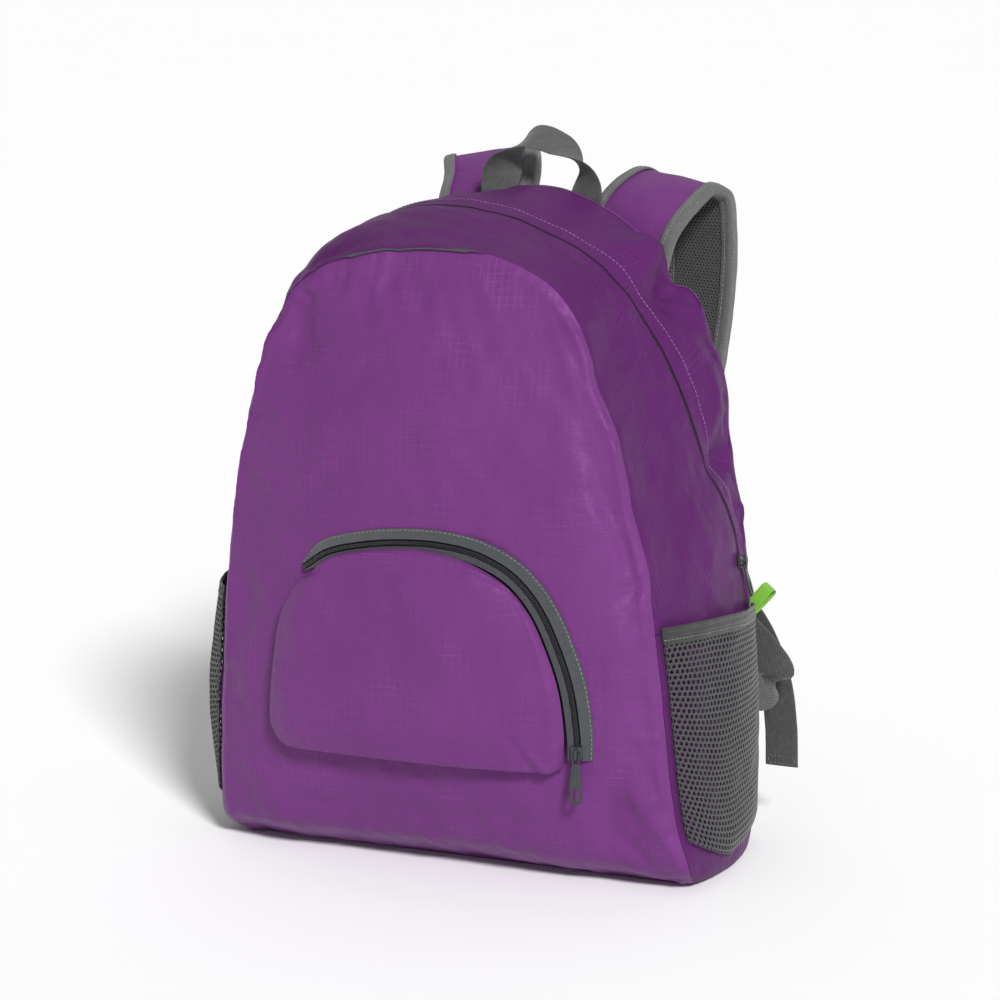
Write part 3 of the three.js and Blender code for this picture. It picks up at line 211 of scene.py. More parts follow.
HANDLE = [  # out, back, rise, broad direction
    (-0.96, 1.045, -0.55, 1.00, 0.00, 0.00), (-1.00, 1.085, 0.05, 0.96, 0.28, 0.00),
    (-0.80, 1.110, 0.58, 0.55, 0.75, 0.36), (-0.34, 1.130, 1.00, 0.12, 0.82, 0.56),
    (0.24, 1.150, 0.84, -0.15, 0.82, 0.55), (0.68, 1.120, 0.44, -0.60, 0.72, 0.34),
    (0.87, 1.085, -0.05, -0.95, 0.30, 0.00), (0.84, 1.045, -0.60, -1.00, 0.00, 0.00),
]
STRAP = [  # out, back, up, yaw, dip, left, wide
    (0.311, 0.535, 0.872, 0, -4, 0.3, 1.00), (0.329, 0.562, 0.912, -4, -10, 0.4, 1.00),
    (0.359, 0.621, 0.953, -12, -16, 0.8, 1.00), (0.395, 0.729, 0.983, -16, -16, 1.0, 1.00),
    (0.443, 0.857, 1.000, -14, -8, 1.0, 1.00), (0.475, 0.957, 0.981, -18, -4, 1.0, 1.00),
    (0.497, 0.993, 0.931, -26, 0, 0.8, 0.98), (0.500, 0.993, 0.841, -28, 0, 0.6, 0.96),
    (0.480, 0.943, 0.735, -24, 0, 0.4, 0.93), (0.462, 0.857, 0.640, -16, 0, 0.2, 0.88),
    (0.455, 0.786, 0.557, -8, 0, 0.0, 0.80), (0.458, 0.736, 0.505, 0, 0, 0.0, 0.70),
]
TAIL = [  # out, back, up, broad direction
    (0.946, 0.745, 0.092, 0.98, -0.20, 0.08), (0.938, 0.750, 0.160, 0.98, -0.20, 0.05),
    (0.905, 0.765, 0.230, 0.95, -0.20, 0.20), (0.820, 0.775, 0.305, 0.86, -0.20, 0.46),
    (0.690, 0.760, 0.365, 0.82, -0.16, 0.54),
]
LOAD = [
    (0.660, 0.630, 0.368, 0.82, -0.14, 0.54), (0.790, 0.620, 0.325, 0.80, -0.14, 0.58),
    (0.905, 0.625, 0.280, 0.80, -0.05, 0.60), (0.960, 0.615, 0.245, 0.55, 0.25, 0.80),
    (0.935, 0.560, 0.225, 0.10, 0.10, 1.00), (0.888, 0.489, 0.228, 0.00, 0.00, 1.00),
]


def seam(rows, half, height, depth):
    def side(sign):
        return [((sign * out + lean) * half, deep * depth, SEAM_FOOT + up * (height - SEAM_FOOT))
                for out, up, deep, lean in rows]
    return Route(side(-1) + side(1)[:-1][::-1])


front_seam = seam(FRONT_SEAM, FRONT_HALF, FRONT_HEIGHT, -FRONT_REACH)
rear_seam = seam(REAR_SEAM, REAR_HALF, BAG_HEIGHT, REAR_REACH)


def fold_rise(rows, a, b):
    return sum(rise * np.exp(-((a - at) / length) ** 2 - ((b - across) / breadth) ** 2)
               for at, across, length, breadth, rise in rows)


def side_point(along, across):
    a, b = np.broadcast_arrays(np.clip(along, 0, 1), across)
    tangent = front_seam.turn(front_seam.share(a))
    out = unit(xyz(-tangent[..., 2], 0, tangent[..., 0]))
    foot = np.clip(1 - np.minimum(a, 1 - a) / 0.04, 0, 1)[..., None]
    out = unit(out * (1 - foot) + xyz(np.where(a < 0.5, -1.0, 1.0), 0, 0) * foot)
    arch = 4 * b * (1 - b)
    stand = eased(*SIDE_FULLNESS, a) * arch + fold_rise(SIDE_FOLDS, a, b) * np.minimum(1, 3 * arch)
    base = front_seam.along(a) * (1 - b)[..., None] + rear_seam.along(a) * b[..., None]
    point = base + out * (stand * SIDE_SWELL)[..., None]
    point[..., 2] = np.maximum(point[..., 2], SEAM_FOOT)
    return point


def seam_depth(along):
    return rear_seam.along(along)[..., 1] - front_seam.along(along)[..., 1]


front_edges = [front_seam.along(np.linspace(0.5, end, 161))[::-1] for end in (0, 1)]


def front_depth(x, z):
    height = np.clip(z, SEAM_FOOT, FRONT_HEIGHT)
    left, right = (np.stack([np.interp(height, e[:, 2], e[:, k]) for k in (0, 1)])
                   for e in front_edges)
    edge = np.where(x < 0, left, right)
    across = np.clip(np.abs(x) / np.maximum(1, np.abs(edge[0])), 0, 1)
    up = height / FRONT_HEIGHT
    dome = eased(*FRONT_PROFILE, up) * (1 - across ** 2) ** 0.7
    fold = fold_rise(FRONT_FOLDS, x / FRONT_HALF, up) * np.minimum(1, 6 * (1 - across))
    return edge[1] - FRONT_SWELL * (dome + fold)


def filled(bottom, top, left, right, u, v):
    """A surface between four edges: bottom and top run left to right, left and right upwards."""
    u1, v1 = u[..., None], v[..., None]
    zero, one = np.zeros(1), np.ones(1)
    return (bottom(u) * (1 - v1) + top(u) * v1 + left(v) * (1 - u1) + right(v) * u1
            - bottom(zero) * (1 - u1) * (1 - v1) - bottom(one) * u1 * (1 - v1)
            - top(zero) * (1 - u1) * v1 - top(one) * u1 * v1)


def panel(seam_line, u, v):
    start, end = seam_line.along(0.0), seam_line.along(1.0)
    return filled(lambda s: start * (1 - s[..., None]) + end * s[..., None],
                  lambda s: seam_line.along(0.36 + s * 0.28), lambda s: seam_line.along(s * 0.36),
                  lambda s: seam_line.along(1 - s * 0.36), u, v)


def front_point(u, v):
    point = panel(front_seam, u, v)
    inside = (u > 0) & (u < 1) & (v > 0) & (v < 1)
    point[..., 1] = np.where(inside, front_depth(point[..., 0], point[..., 2]), point[..., 1])
    return point


def back_point(u, v):
    point = panel(rear_seam, u, v)
    point[..., 1] += BACK_SWELL * (16 * u * (1 - u) * v * (1 - v)) ** 0.6
    return point


def zip_edges(along):
    depth = seam_depth(along)
    middle, gape = eased(ZIP_LINE[0], ZIP_LINE[1], along), eased(ZIP_LINE[0], ZIP_LINE[2], along)
    front = middle - ZIP_SLOT / 2 / depth
    rear = middle + (ZIP_SLOT / 2 + gape * ZIP_GAPE) / depth
    room = 1 - (CLOTH + RIM_GAP) / depth - rear
    return front, rear, ZIP_LAP / depth, np.minimum(ZIP_LAP / depth, room * 0.5)


def slanted(along, across):
    near = np.minimum(along, 1 - along)
    beyond = np.clip(1 - (near - ZIP_START) / SPLIT_REACH, 0, 1)
    share = np.where(near < ZIP_START, near / ZIP_START, beyond)
    return along + np.where(along < 0.5, -1, 1) * SPLIT_FALL * across * share


def along_at_height(height):
    tries = np.linspace(0, 0.4, 401)
    return tries[np.argmax(side_point(tries, 0.5)[:, 2] >= height)]


net_foot, net_head = along_at_height(NET_FOOT), along_at_height(NET_TOP)
elastic_head = along_at_height(NET_TOP + ELASTIC_WIDTH)


def normals_of(points, middle=MIDDLE):
    n = unit(np.cross(np.gradient(points, axis=1), np.gradient(points, axis=0)))
    return n if np.sum(n * (points - middle)) > 0 else -n


def net_point(side, u, v):
    def place(du, dv):
        uu, vv = np.clip(u + du, 0, 1), v + dv
        across = 0.03 + uu * 0.94
        fall = NET_SLOPE / front_seam.length * across * np.clip(vv, 0, 1)
        along = net_foot + vv * (net_head - net_foot) - fall
        return side_point(along if side == "left" else 1 - along, across)
    step = 0.004
    out = unit(np.cross(place(step, 0) - place(-step, 0), place(0, step) - place(0, -step)))
    point = place(0, 0)
    out = out * np.where(np.sum(out * (point - MIDDLE), axis=-1) < 0, -1, 1)[..., None]
    full = NET_SWELL[side] * (4 * u * (1 - u)) ** 0.8 * np.clip(v * 2.2, 0, 1) ** 0.8
    free = quarter_round(u, 0.15) * quarter_round(1 - u, 0.15) * quarter_round(v, 0.12)
    sewn = NET_WALL + RIM_GAP
    return point + out * (sewn + (NET_STAND - sewn) * free + full)[..., None]


pocket_arc, pocket_left = (
    Route([(row[0] * POCKET_HALF, 0, POCKET_BOTTOM + row[1] * POCKET_HEIGHT) for row in rows])
    for rows in (POCKET_ARC, POCKET_LEFT))
ARC_CORNER, POCKET_HEM = 0.56, CLOTH + SEAM_GAP
PANEL_INSET = POCKET_COIL / 2 + INNER_TAPE + SEAM_GAP + 3 * RIM_GAP


def arc_lift(share):
    return eased(np.linspace(0, 1, len(POCKET_ARC)), [row[2] for row in POCKET_ARC], share) * ZIP_LIFT


def beside_arc(share, out, lift=None):
    share = np.clip(share, 0, 1)
    tangent = pocket_arc.turn(share)
    point = pocket_arc.at(share) + xyz(-tangent[..., 2] * out, 0, tangent[..., 0] * out)
    if lift is not None:
        point[..., 1] = front_depth(point[..., 0], point[..., 2]) - lift
    return point


def pocket_point(u, v):
    end = beside_arc(np.array(1.0), -PANEL_INSET - 5)
    end[2] = POCKET_BOTTOM - 1
    foot, head = pocket_left.at(0.0), beside_arc(np.array(0.0), -PANEL_INSET)

    def right(s):
        near = ((1 - s) ** 12)[..., None]
        return beside_arc(1 - s * (1 - ARC_CORNER), -PANEL_INSET) * (1 - near) + end * near

    point = filled(lambda s: foot * (1 - s[..., None]) + end * s[..., None],
                   lambda s: beside_arc(s * ARC_CORNER, -PANEL_INSET),
                   lambda s: pocket_left.at(s) * (1 - (s ** 4)[..., None]) + head * (s ** 4)[..., None],
                   right, u, v)
    edge = np.maximum(arc_lift(u * ARC_CORNER) * v ** 3,
                      arc_lift(1 - v * (1 - ARC_CORNER)) * u ** 3 * quarter_round(v, 0.15))
    bulge = (quarter_round(u, 0.16) * quarter_round(v, 0.16)
             * quarter_round(1 - u, 0.5) * quarter_round(1 - v, 0.5))
    point[..., 1] = (front_depth(point[..., 0], point[..., 2]) - POCKET_HEM
                     - edge * (1 - 0.4 * bulge) - POCKET_SWELL * bulge)
    return point


def stations(rows, count, shares=None):
    """Points, broad directions and face directions along a strap or webbing route."""
    points, broads = (np.array([row[k] for row in rows], float) for k in (0, 1))
    route = Route(points)
    t = np.linspace(0, 1, count + 1) if shares is None else shares
    place = t * (len(rows) - 1)
    k = np.minimum(place.astype(int), len(rows) - 2)
    w = (place - k)[:, None]
    tangent = route.turn(t)
    broad = broads[k] * (1 - w) + broads[k + 1] * w
    broad = unit(broad - tangent * np.sum(broad * tangent, axis=1, keepdims=True))
    return route.at(t), broad, unit(np.cross(tangent, broad)), t


def even_stations(rows, spacing):
    """The same, with stations spaced evenly along the route."""
    route = Route([row[0] for row in rows])
    count = int(route.length / spacing)
    return (*stations(rows, count, route.share(np.linspace(0, 1, count + 1))), route.length)


# Meshes
def placed(name, mesh):
    piece = bpy.data.objects.new(name, mesh)
    scene.collection.objects.link(piece)
    return piece


def smooth(mesh, angle):
    mesh.shade_smooth()
    mesh.set_sharp_from_angle(angle=math.radians(angle))


def make(name, points, faces, uvs=None):
    """A mesh in metres from points in millimetres; uvs are in millimetres, one for each point."""
    mesh = bpy.data.meshes.new(name)
    mesh.from_pydata((np.asarray(points) * MM).tolist(), [], [list(f) for f in faces])
    mesh.validate()
    if uvs is not None:
        layer = mesh.uv_layers.new(name="cloth")
        index = np.zeros(len(mesh.loops), int)
        mesh.loops.foreach_get("vertex_index", index)
        layer.data.foreach_set("uv", (np.asarray(uvs)[index] * MM).ravel())
    smooth(mesh, 48)
    return placed(name, mesh)


def outward_faces(points, quads):
    """The quads, all turned round if the closed shape has them facing in."""
    a, b, c, d = (points[quads[:, k]] for k in range(4))
    volume = np.sum(a * np.cross(b, c)) + np.sum(a * np.cross(c, d))
    return quads if volume > 0 else quads[:, ::-1]


def measured(points):
    """Lengths along the rows and columns of a grid, from its middle column and its first row."""
    s, t = np.zeros(points.shape[:2]), np.zeros(points.shape[:2])
    s[:, 1:] = np.cumsum(np.linalg.norm(np.diff(points, axis=1), axis=2), axis=1)
    t[1:] = np.cumsum(np.linalg.norm(np.diff(points, axis=0), axis=2), axis=0)
    return s - s[:, s.shape[1] // 2][:, None], t


def dress(piece, material, slot, *stands_for, body="bag"):
    piece.data.materials.clear()
    for one in material if isinstance(material, list) else [material]:
        piece.data.materials.append(one)
    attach(piece, body)
    if stands_for:
        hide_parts(*stands_for)
    return piece


def cloth_wall(name, points, wall, material, slot, *stands_for, sink=0.0, out=None):
    """A dressed closed wall under a grid of points on its outer face."""
    high, wide = points.shape[:2]
    n = normals_of(points) if out is None else out
    flat = np.stack(measured(points), axis=-1).reshape(-1, 2)
    both = np.vstack([(points - n * depth).reshape(-1, 3) for depth in (sink, sink + wall)])
    k = (np.arange(high - 1)[:, None] * wide + np.arange(wide - 1)).ravel()
    layer = high * wide
    outer = np.stack([k, k + 1, k + wide + 1, k + wide], axis=1)
    rim = np.concatenate([np.arange(wide), np.arange(1, high) * wide + wide - 1,
                          (high - 1) * wide + np.arange(wide - 2, -1, -1),
                          np.arange(high - 2, 0, -1) * wide])
    after = np.roll(rim, -1)
    sides = np.stack([after, rim, layer + rim, layer + after], axis=1)
    quads = outward_faces(both, np.vstack([outer, layer + outer[:, ::-1], sides]))
    return dress(make(name, both, quads, np.vstack([flat, flat])), material, slot, *stands_for)


def swept(name, rings, lengths):
    """A closed ring of points carried along stations, with flat ends; uvs run round and along."""
    count, around = rings.shape[:2]
    k = np.arange(count - 1)[:, None] * around
    i, j = np.arange(around), (np.arange(around) + 1) % around
    quads = np.stack([k + i, k + j, k + around + j, k + around + i], axis=2).reshape(-1, 4)
    points = rings.reshape(-1, 3)
    girth = np.linalg.norm(np.diff(rings[0], axis=0, append=rings[0][:1]), axis=1)
    round_ring = np.concatenate([[0], np.cumsum(girth)[:-1]])
    uvs = np.stack(np.broadcast_arrays(round_ring[None, :], lengths[:, None]), axis=-1)
    turned = outward_faces(points, quads)
    last = (count - 1) * around
    ends = [list(range(around))[::-1], [last + n for n in range(around)]]
    if turned is not quads:
        ends = [end[::-1] for end in ends]
    return make(name, points, turned.tolist() + ends, uvs.reshape(-1, 2))


def ring_points(point, broad, face, across, out):
    """Rings round stations from profiles: across the broad direction and out along the face."""
    return (point[:, None] + broad[:, None] * np.atleast_2d(across)[..., None]
            + face[:, None] * np.atleast_2d(out)[..., None])


# Materials
def linear(colour):
    """An sRGB hex colour as linear red, green, blue and alpha."""
    parts = [int(colour[k:k + 2], 16) / 255 for k in (1, 3, 5)]
    return (*(c / 12.92 if c <= 0.04045 else ((c + 0.055) / 1.055) ** 2.4 for c in parts), 1.0)


def fill(tree, made, inputs):
    """Sets a node's inputs, each from a node or socket to link, a hex colour or a plain value."""
    for key, value in inputs.items():
        if isinstance(value, bpy.types.Node):
            value = value.outputs[0]
        if isinstance(value, bpy.types.NodeSocket):
            tree.links.new(value, made.inputs[key])
        elif isinstance(value, str) and value.startswith("#"):
            made.inputs[key].default_value = linear(value)
        else:
            made.inputs[key].default_value = value
    return made


def node(tree, kind, inputs=None, **settings):
    made = tree.nodes.new(kind)
    for key, value in settings.items():
        setattr(made, key, value)
    return fill(tree, made, inputs or {})


def new_material(name, roughness, **shader):
    material = bpy.data.materials.new(name)
    material.use_nodes = True
    tree = material.node_tree
    surface = fill(tree, tree.nodes["Principled BSDF"], {"Roughness": roughness})
    fill(tree, surface, {key.replace("_", " "): value for key, value in shader.items()})
    return material, tree, surface, node(tree, "ShaderNodeTexCoord").outputs["Object"]


def cloth_place(tree, across, along):
    """The piece's own cloth map, in metres, times a scale each way."""
    place = node(tree, "ShaderNodeUVMap", uv_map="cloth")
    return node(tree, "ShaderNodeMapping", {"Vector": place, "Scale": (across, along, 1)})


def thread_gaps(tree, scale):
    """Distance from the nearest whole thread, across and along the cloth."""
    split = node(tree, "ShaderNodeSeparateXYZ", {0: cloth_place(tree, scale, scale)})
    return [node(tree, "ShaderNodeMath", {0: split.outputs[k], 1: 0.5}, operation="PINGPONG")
            for k in (0, 1)]


def weighted(tree, *terms):
    """The sum of sockets, each times its share, a number or another socket."""
    total = 0.0
    for value, share in terms:
        total = node(tree, "ShaderNodeMath", {0: value, 1: share, 2: total}, operation="MULTIPLY_ADD")
    return total


def coloured(tree, surface, share, dark, pale, height, depth, strength, under=None):
    """Gives the surface a colour between two and a relief, on top of another relief or none."""
    colour = node(tree, "ShaderNodeMix", {0: share, 6: dark, 7: pale}, data_type="RGBA").outputs[2]
    relief = {"Height": height, "Distance": depth, "Strength": strength}
    if under is not None:
        relief["Normal"] = under
    fill(tree, surface, {"Base Color": colour, "Normal": node(tree, "ShaderNodeBump", relief)})


def ripstop(name, pale, dark, gloss=0.3):
    """Coated nylon ripstop, plain woven with a thicker thread each 5 mm both ways: a thin smooth
    cloth with a soft low gloss and a faint paler grid that comes and goes. The weave between is
    drawn at 1.2 mm, coarser than the real 0.25 mm, so that it shows. The side cloth's copy is the
    same cloth with darker colours, painted shade, and a lower gloss, so that it doesn't look grey where it is seen
    edge on."""
    material, tree, surface, local = new_material(
        name, 0.42, Sheen_Weight=0.02, Sheen_Roughness=0.5, Sheen_Tint="#c98ad2",
        Specular_IOR_Level=gloss, Specular_Tint="#c98fd0")
    cloud, shade, dull, dents = (
        node(tree, "ShaderNodeTexNoise", {"Vector": local, "Scale": scale, "Detail": detail, "Roughness": rough})
        for scale, detail, rough in ((30, 3.0, 0.5), (14, 3.0, 0.5), (35, 2.0, 0.5), (60, 6.0, 0.6)))
    weft, warp = (
        node(tree, "ShaderNodeTexNoise", {"Vector": cloth_place(tree, *scale), "Scale": 1.0, "Detail": 1.0})
        for scale in ((40, 900), (1300, 28)))
    lines = [node(tree, "ShaderNodeMapRange", {0: gap, 1: 0.07, 2: 0.0245}) for gap in thread_gaps(tree, 200)]
    grid_here = node(tree, "ShaderNodeMath", dict(enumerate(lines)), operation="MAXIMUM")
    shown = weighted(tree, (grid_here, node(tree, "ShaderNodeMapRange", {0: cloud, 1: 0.46, 2: 0.72})))
    thread = weighted(tree, (warp, 0.4), (weft, 0.6))
    broken = weighted(tree, (shown, node(tree, "ShaderNodeMapRange", {0: thread, 1: 0.35, 2: 0.6})))
    weave = weighted(tree, thread_gaps(tree, 833))
    cloudy = node(tree, "ShaderNodeMix", {0: weighted(tree, (shade, 0.55), (thread, 0.45)), 6: dark, 7: pale},
                  data_type="RGBA").outputs[2]
    crease = node(tree, "ShaderNodeBump", {"Height": dents, "Distance": 0.003, "Strength": 0.45})
    coloured(tree, surface, weighted(tree, (broken, 0.22)), cloudy, "#9a5fa4",
             weighted(tree, (weave, 0.9), (shown, 0.4), (thread, 0.7)), 0.0003, 0.8, crease)
    fill(tree, surface, {"Roughness": node(tree, "ShaderNodeMapRange", {0: dull, 3: 0.34, 4: 0.48})})
    return material


def woven(name, dark, pale, pitch, roughness=0.75, slant=0.0):
    """Polyester yarn in a coarse weave: matt, paler on the top of each thread and darker between, painted highlight
    and painted shade that follow the weave's relief.
    """
    material, tree, surface, local = new_material(name, roughness, Sheen_Weight=0.2, Specular_IOR_Level=0.3)
    place = cloth_place(tree, 1000 / pitch[0], 1000 / pitch[1])
    across, straight = node(tree, "ShaderNodeSeparateXYZ", {0: place}).outputs[:2]
    along = weighted(tree, (across, slant), (straight, 1.0))
    row = node(tree, "ShaderNodeMath", {0: along}, operation="FLOOR")
    tops = [node(tree, "ShaderNodeMath", {0: value, 1: 0.5}, operation="PINGPONG")
            for value in (weighted(tree, (row, 0.5), (across, 1.0)), along)]
    top = weighted(tree, (weighted(tree, tops), 4.0))
    soft = node(tree, "ShaderNodeMath", {0: top, 1: 0.6}, operation="POWER")
    fleck = node(tree, "ShaderNodeTexNoise", {"Vector": local, "Scale": 300, "Detail": 2.0})
    # The colour follows the threads' height: painted highlight on their tops, painted shade between them, with
    # random flecks
    coloured(tree, surface, weighted(tree, (soft, fleck), (soft, 0.35)), dark, pale, soft, 0.0003, 0.9)
    return material


def moulded(name, colour, roughness, metal, wear):
    """Smooth hard finish with a faint grain and random patches of a second, worn tone."""
    material, tree, surface, local = new_material(name, roughness, Metallic=metal)
    grain, patches = (node(tree, "ShaderNodeTexNoise", {"Vector": local, "Scale": scale, "Detail": detail})
                      for scale, detail in ((900, 3.0), (60, 2.0)))
    coloured(tree, surface, patches, colour, wear, grain, 0.00005, 0.4)
    uneven = node(tree, "ShaderNodeMapRange", {0: grain, 3: roughness - 0.08, 4: roughness + 0.1})
    fill(tree, surface, {"Roughness": uneven})
    return material


def yarn(name, dark, pale):
    """Textured polyester yarn: matt, flecked lighter where the same noise raises its bump, a painted highlight on
    filaments that stand up.
    """
    material, tree, surface, local = new_material(name, 0.75, Sheen_Weight=0.2, Specular_IOR_Level=0.3)
    fleck = node(tree, "ShaderNodeTexNoise", {"Vector": local, "Scale": 700, "Detail": 3.0})
    # The same noise gives the paler colour and the raised relief: painted highlight on the raised filaments
    coloured(tree, surface, fleck, dark, pale, fleck, 0.0002, 0.5)
    return material


purple = ripstop("purple_ripstop_nylon", "#6f3877", "#592b61")
# Painted shade: the same ripstop as the front, its colours darkened so that the bag's sides look less lit
shaded_side_purple = ripstop("cross_cut_ripstop_nylon", "#5a2761", "#471d4f", 0.06)
pocket_purple = ripstop("pocket_ripstop_nylon", "#6f3877", "#592b61")
tape_grey = woven("knitted_zip_tape", "#333638", "#4f5356", (0.9, 0.9), 0.8)
binding_grey = woven("twill_binding_tape", "#434543", "#787b78", (1.6, 1.1), 0.75, 0.6)
webbing_grey = woven("woven_polyester_webbing", "#2d2e2d", "#6c6f6c", (1.5, 1.1), 0.7, 0.5)
elastic_grey = woven("knitted_elastic_band", "#1f201f", "#3b3e3c", (1.2, 1.5))
lime = woven("lime_herringbone_tape", "#62a028", "#8acb45", (1.2, 1.0), 0.6, 0.5)
coil_black = moulded("nylon_zip_coil", "#0b0b0c", 0.42, 0.0, "#151517")
painted_metal = moulded("painted_zinc_casting", "#2c2f31", 0.36, 0.3, "#404446")
acetal = moulded("moulded_acetal", "#1c1d1f", 0.42, 0.0, "#26282b")
thread_purple = moulded("purple_polyester_thread", "#8f5c98", 0.5, 0.0, "#7c4c86")
thread_grey = moulded("grey_polyester_thread", "#7d8280", 0.55, 0.0, "#6a6f6d")
foam_dark = moulded("dark_backing_cloth", "#1f2120", 0.8, 0.0, "#2a2c2b")
net_yarn = yarn("polyester_net_yarn", "#202221", "#4b4e4c")
lining_yarn = yarn("polyester_lining_yarn", "#2c2e2d", "#626562")


# Geometry Nodes: stitches and zip teeth set along a line, and a knitted net
def new_tree(name, numbers):
    tree = bpy.data.node_groups.new(name, "GeometryNodeTree")
    sockets = [("Geometry", "Geometry", None), ("Material", "Material", None)]
    sockets += [(key, "Int" if isinstance(value, int) else "Float", value) for key, value in numbers.items()]
    for key, kind, value in sockets:
        socket = tree.interface.new_socket(key, in_out="INPUT", socket_type="NodeSocket" + kind)
        if value is not None:
            socket.default_value = value
    tree.interface.new_socket("Geometry", in_out="OUTPUT", socket_type="NodeSocketGeometry")
    return tree, node(tree, "NodeGroupInput").outputs


def finish_tree(tree, geometry, material):
    real = node(tree, "GeometryNodeRealizeInstances", {0: geometry})
    painted = node(tree, "GeometryNodeSetMaterial", {"Geometry": real, "Material": material})
    node(tree, "NodeGroupOutput", {0: painted})
    return tree


def along_points(tree, given, shape):
    """One shape on each point, its X along the line and its Z away from the cloth."""
    run, out = (node(tree, "GeometryNodeInputNamedAttribute", {"Name": key}, data_type="FLOAT_VECTOR")
                for key in ("run", "out"))
    turn = node(tree, "FunctionNodeAxesToRotation", {0: out, 1: run}, primary_axis="Z", secondary_axis="X")
    uneven = node(tree, "FunctionNodeRandomValue", {2: 0.86, 3: 1.1, "Seed": given["Seed"]}, data_type="FLOAT")
    return node(tree, "GeometryNodeInstanceOnPoints", {
        "Points": given["Geometry"], "Instance": shape, "Rotation": turn, "Scale": uneven.outputs[1]})


def stitch_tree():
    tree, given = new_tree("stitches_along_a_line", {"Stitch length": 0.0024, "Thread width": 0.0007, "Seed": 3})
    bead = node(tree, "GeometryNodeMeshUVSphere", {"Segments": 6, "Rings": 4, "Radius": 0.5})
    size = node(tree, "ShaderNodeCombineXYZ",
                {0: given["Stitch length"], 1: given["Thread width"], 2: given["Thread width"]})
    thread = node(tree, "GeometryNodeTransform", {"Geometry": bead, "Scale": size})
    return finish_tree(tree, along_points(tree, given, thread), given["Material"])


def tooth_tree():
    tree, given = new_tree("zip_teeth_along_a_line",
                           {"Half width": 0.0016, "Height": 0.001, "Wire": 0.0004, "Seed": 5})
    arc = node(tree, "GeometryNodeCurveArc", {"Resolution": 6, "Radius": 1.0, "Sweep Angle": math.pi})
    size = node(tree, "ShaderNodeCombineXYZ", {0: given["Half width"], 1: given["Height"], 2: given["Height"]})
    loop = node(tree, "GeometryNodeTransform", {"Geometry": arc, "Scale": size})
    stood = node(tree, "GeometryNodeTransform", {"Geometry": loop, "Rotation": (math.pi / 2, 0, math.pi / 2)})
    wire = node(tree, "GeometryNodeCurvePrimitiveCircle", {"Resolution": 6, "Radius": given["Wire"]})
    tooth = node(tree, "GeometryNodeCurveToMesh", {"Curve": stood, "Profile Curve": wire, "Fill Caps": True})
    return finish_tree(tree, along_points(tree, given, tooth), given["Material"])


def net_tree():
    """Six-sided meshes from a sheet of triangles: a hole in each, then the yarn's thickness."""
    tree, given = new_tree("knitted_net", {"Hole share": 0.66, "Yarn": 0.0008})
    cells = node(tree, "GeometryNodeDualMesh", {0: given["Geometry"], "Keep Boundaries": True})
    inset = node(tree, "GeometryNodeExtrudeMesh", {"Mesh": cells, "Offset Scale": 0.0, "Individual": True},
                 mode="FACES")
    top = inset.outputs["Top"]
    shrunk = node(tree, "GeometryNodeScaleElements",
                  {"Geometry": inset.outputs["Mesh"], "Selection": top, "Scale": given["Hole share"]}, domain="FACE")
    open_net = node(tree, "GeometryNodeDeleteGeometry", {"Geometry": shrunk, "Selection": top}, domain="FACE")
    raised = node(tree, "GeometryNodeExtrudeMesh",
                  {"Mesh": open_net, "Offset Scale": given["Yarn"], "Individual": False}, mode="FACES")
    both = node(tree, "GeometryNodeJoinGeometry", {"Geometry": raised.outputs["Mesh"]})
    fill(tree, both, {"Geometry": node(tree, "GeometryNodeFlipFaces", {"Mesh": open_net})})
    closed = node(tree, "GeometryNodeMergeByDistance", {"Geometry": both, "Distance": 0.00002})
    return finish_tree(tree, closed, given["Material"])


trees = {"stitch": stitch_tree(), "tooth": tooth_tree(), "net": net_tree()}


def grown(source, kind, material, slot, *stands_for, **values):
    """The tree's result as a plain dressed mesh: inputs are set before it is first evaluated."""
    tree = trees[kind]
    modifier = source.modifiers.new("grown", "NODES")
    modifier.node_group = tree
    for item in tree.interface.items_tree:
        key = item.name.replace(" ", "_")
        if item.in_out == "INPUT" and item.name == "Material":
            modifier[item.identifier] = material
        elif item.in_out == "INPUT" and key in values:
            modifier[item.identifier] = values[key]
    found = source.evaluated_get(bpy.context.evaluated_depsgraph_get())
    mesh = bpy.data.meshes.new_from_object(found)
    source.modifiers.clear()
    source.data = mesh
    smooth(mesh, 60)
    return dress(source, material, slot, *stands_for)


def line_points(name, lines, pitch):
    """Points each pitch along lines of (points, directions out), with both directions kept."""
    rows = []
    for points, out in lines:
        reached = reached_along(points)
        count = max(1, int(reached[-1] / pitch))
        want = (np.arange(count) + 0.5) * reached[-1] / count
        rows.append([np.stack([np.interp(want, reached, values[:, k]) for k in range(3)], axis=1)
                     for values in (points, np.gradient(points, axis=0), out)])
    places, runs, outs = (np.vstack(parts) for parts in zip(*rows))
    mesh = bpy.data.meshes.new(name)
    mesh.from_pydata((places * MM).tolist(), [], [])
    for key, values in (("run", runs), ("out", outs)):
        mesh.attributes.new(key, "FLOAT_VECTOR", "POINT").data.foreach_set("vector", unit(values).ravel())
    return placed(name, mesh)


def lattice(name, surface, width, height, pitch, stretch=1.0):
    """A sheet of triangles over a surface(u, v), so that its dual has six-sided meshes."""
    rows, wide = int(height / (pitch * 0.866 * stretch)), int(width / pitch)
    j, i = np.mgrid[0:rows + 1, 0:wide + 1]
    u = np.clip((i + 0.5 * (j % 2) - 0.25) / wide, 0, 1)
    points = surface(u, j / rows).reshape(-1, 3)
    a = (j[:-1, :-1] * (wide + 1) + i[:-1, :-1]).ravel()
    b, c, d = a + 1, a + wide + 1, a + wide + 2
    even_row = (j[:-1, :-1] % 2 == 0).ravel()[:, None]
    first = np.where(even_row, np.stack([a, b, c], 1), np.stack([a, b, d], 1))
    second = np.where(even_row, np.stack([b, d, c], 1), np.stack([a, d, c], 1))
    return make(name, points, np.vstack([first, second]))


stitches = {"purple": [], "grey": []}


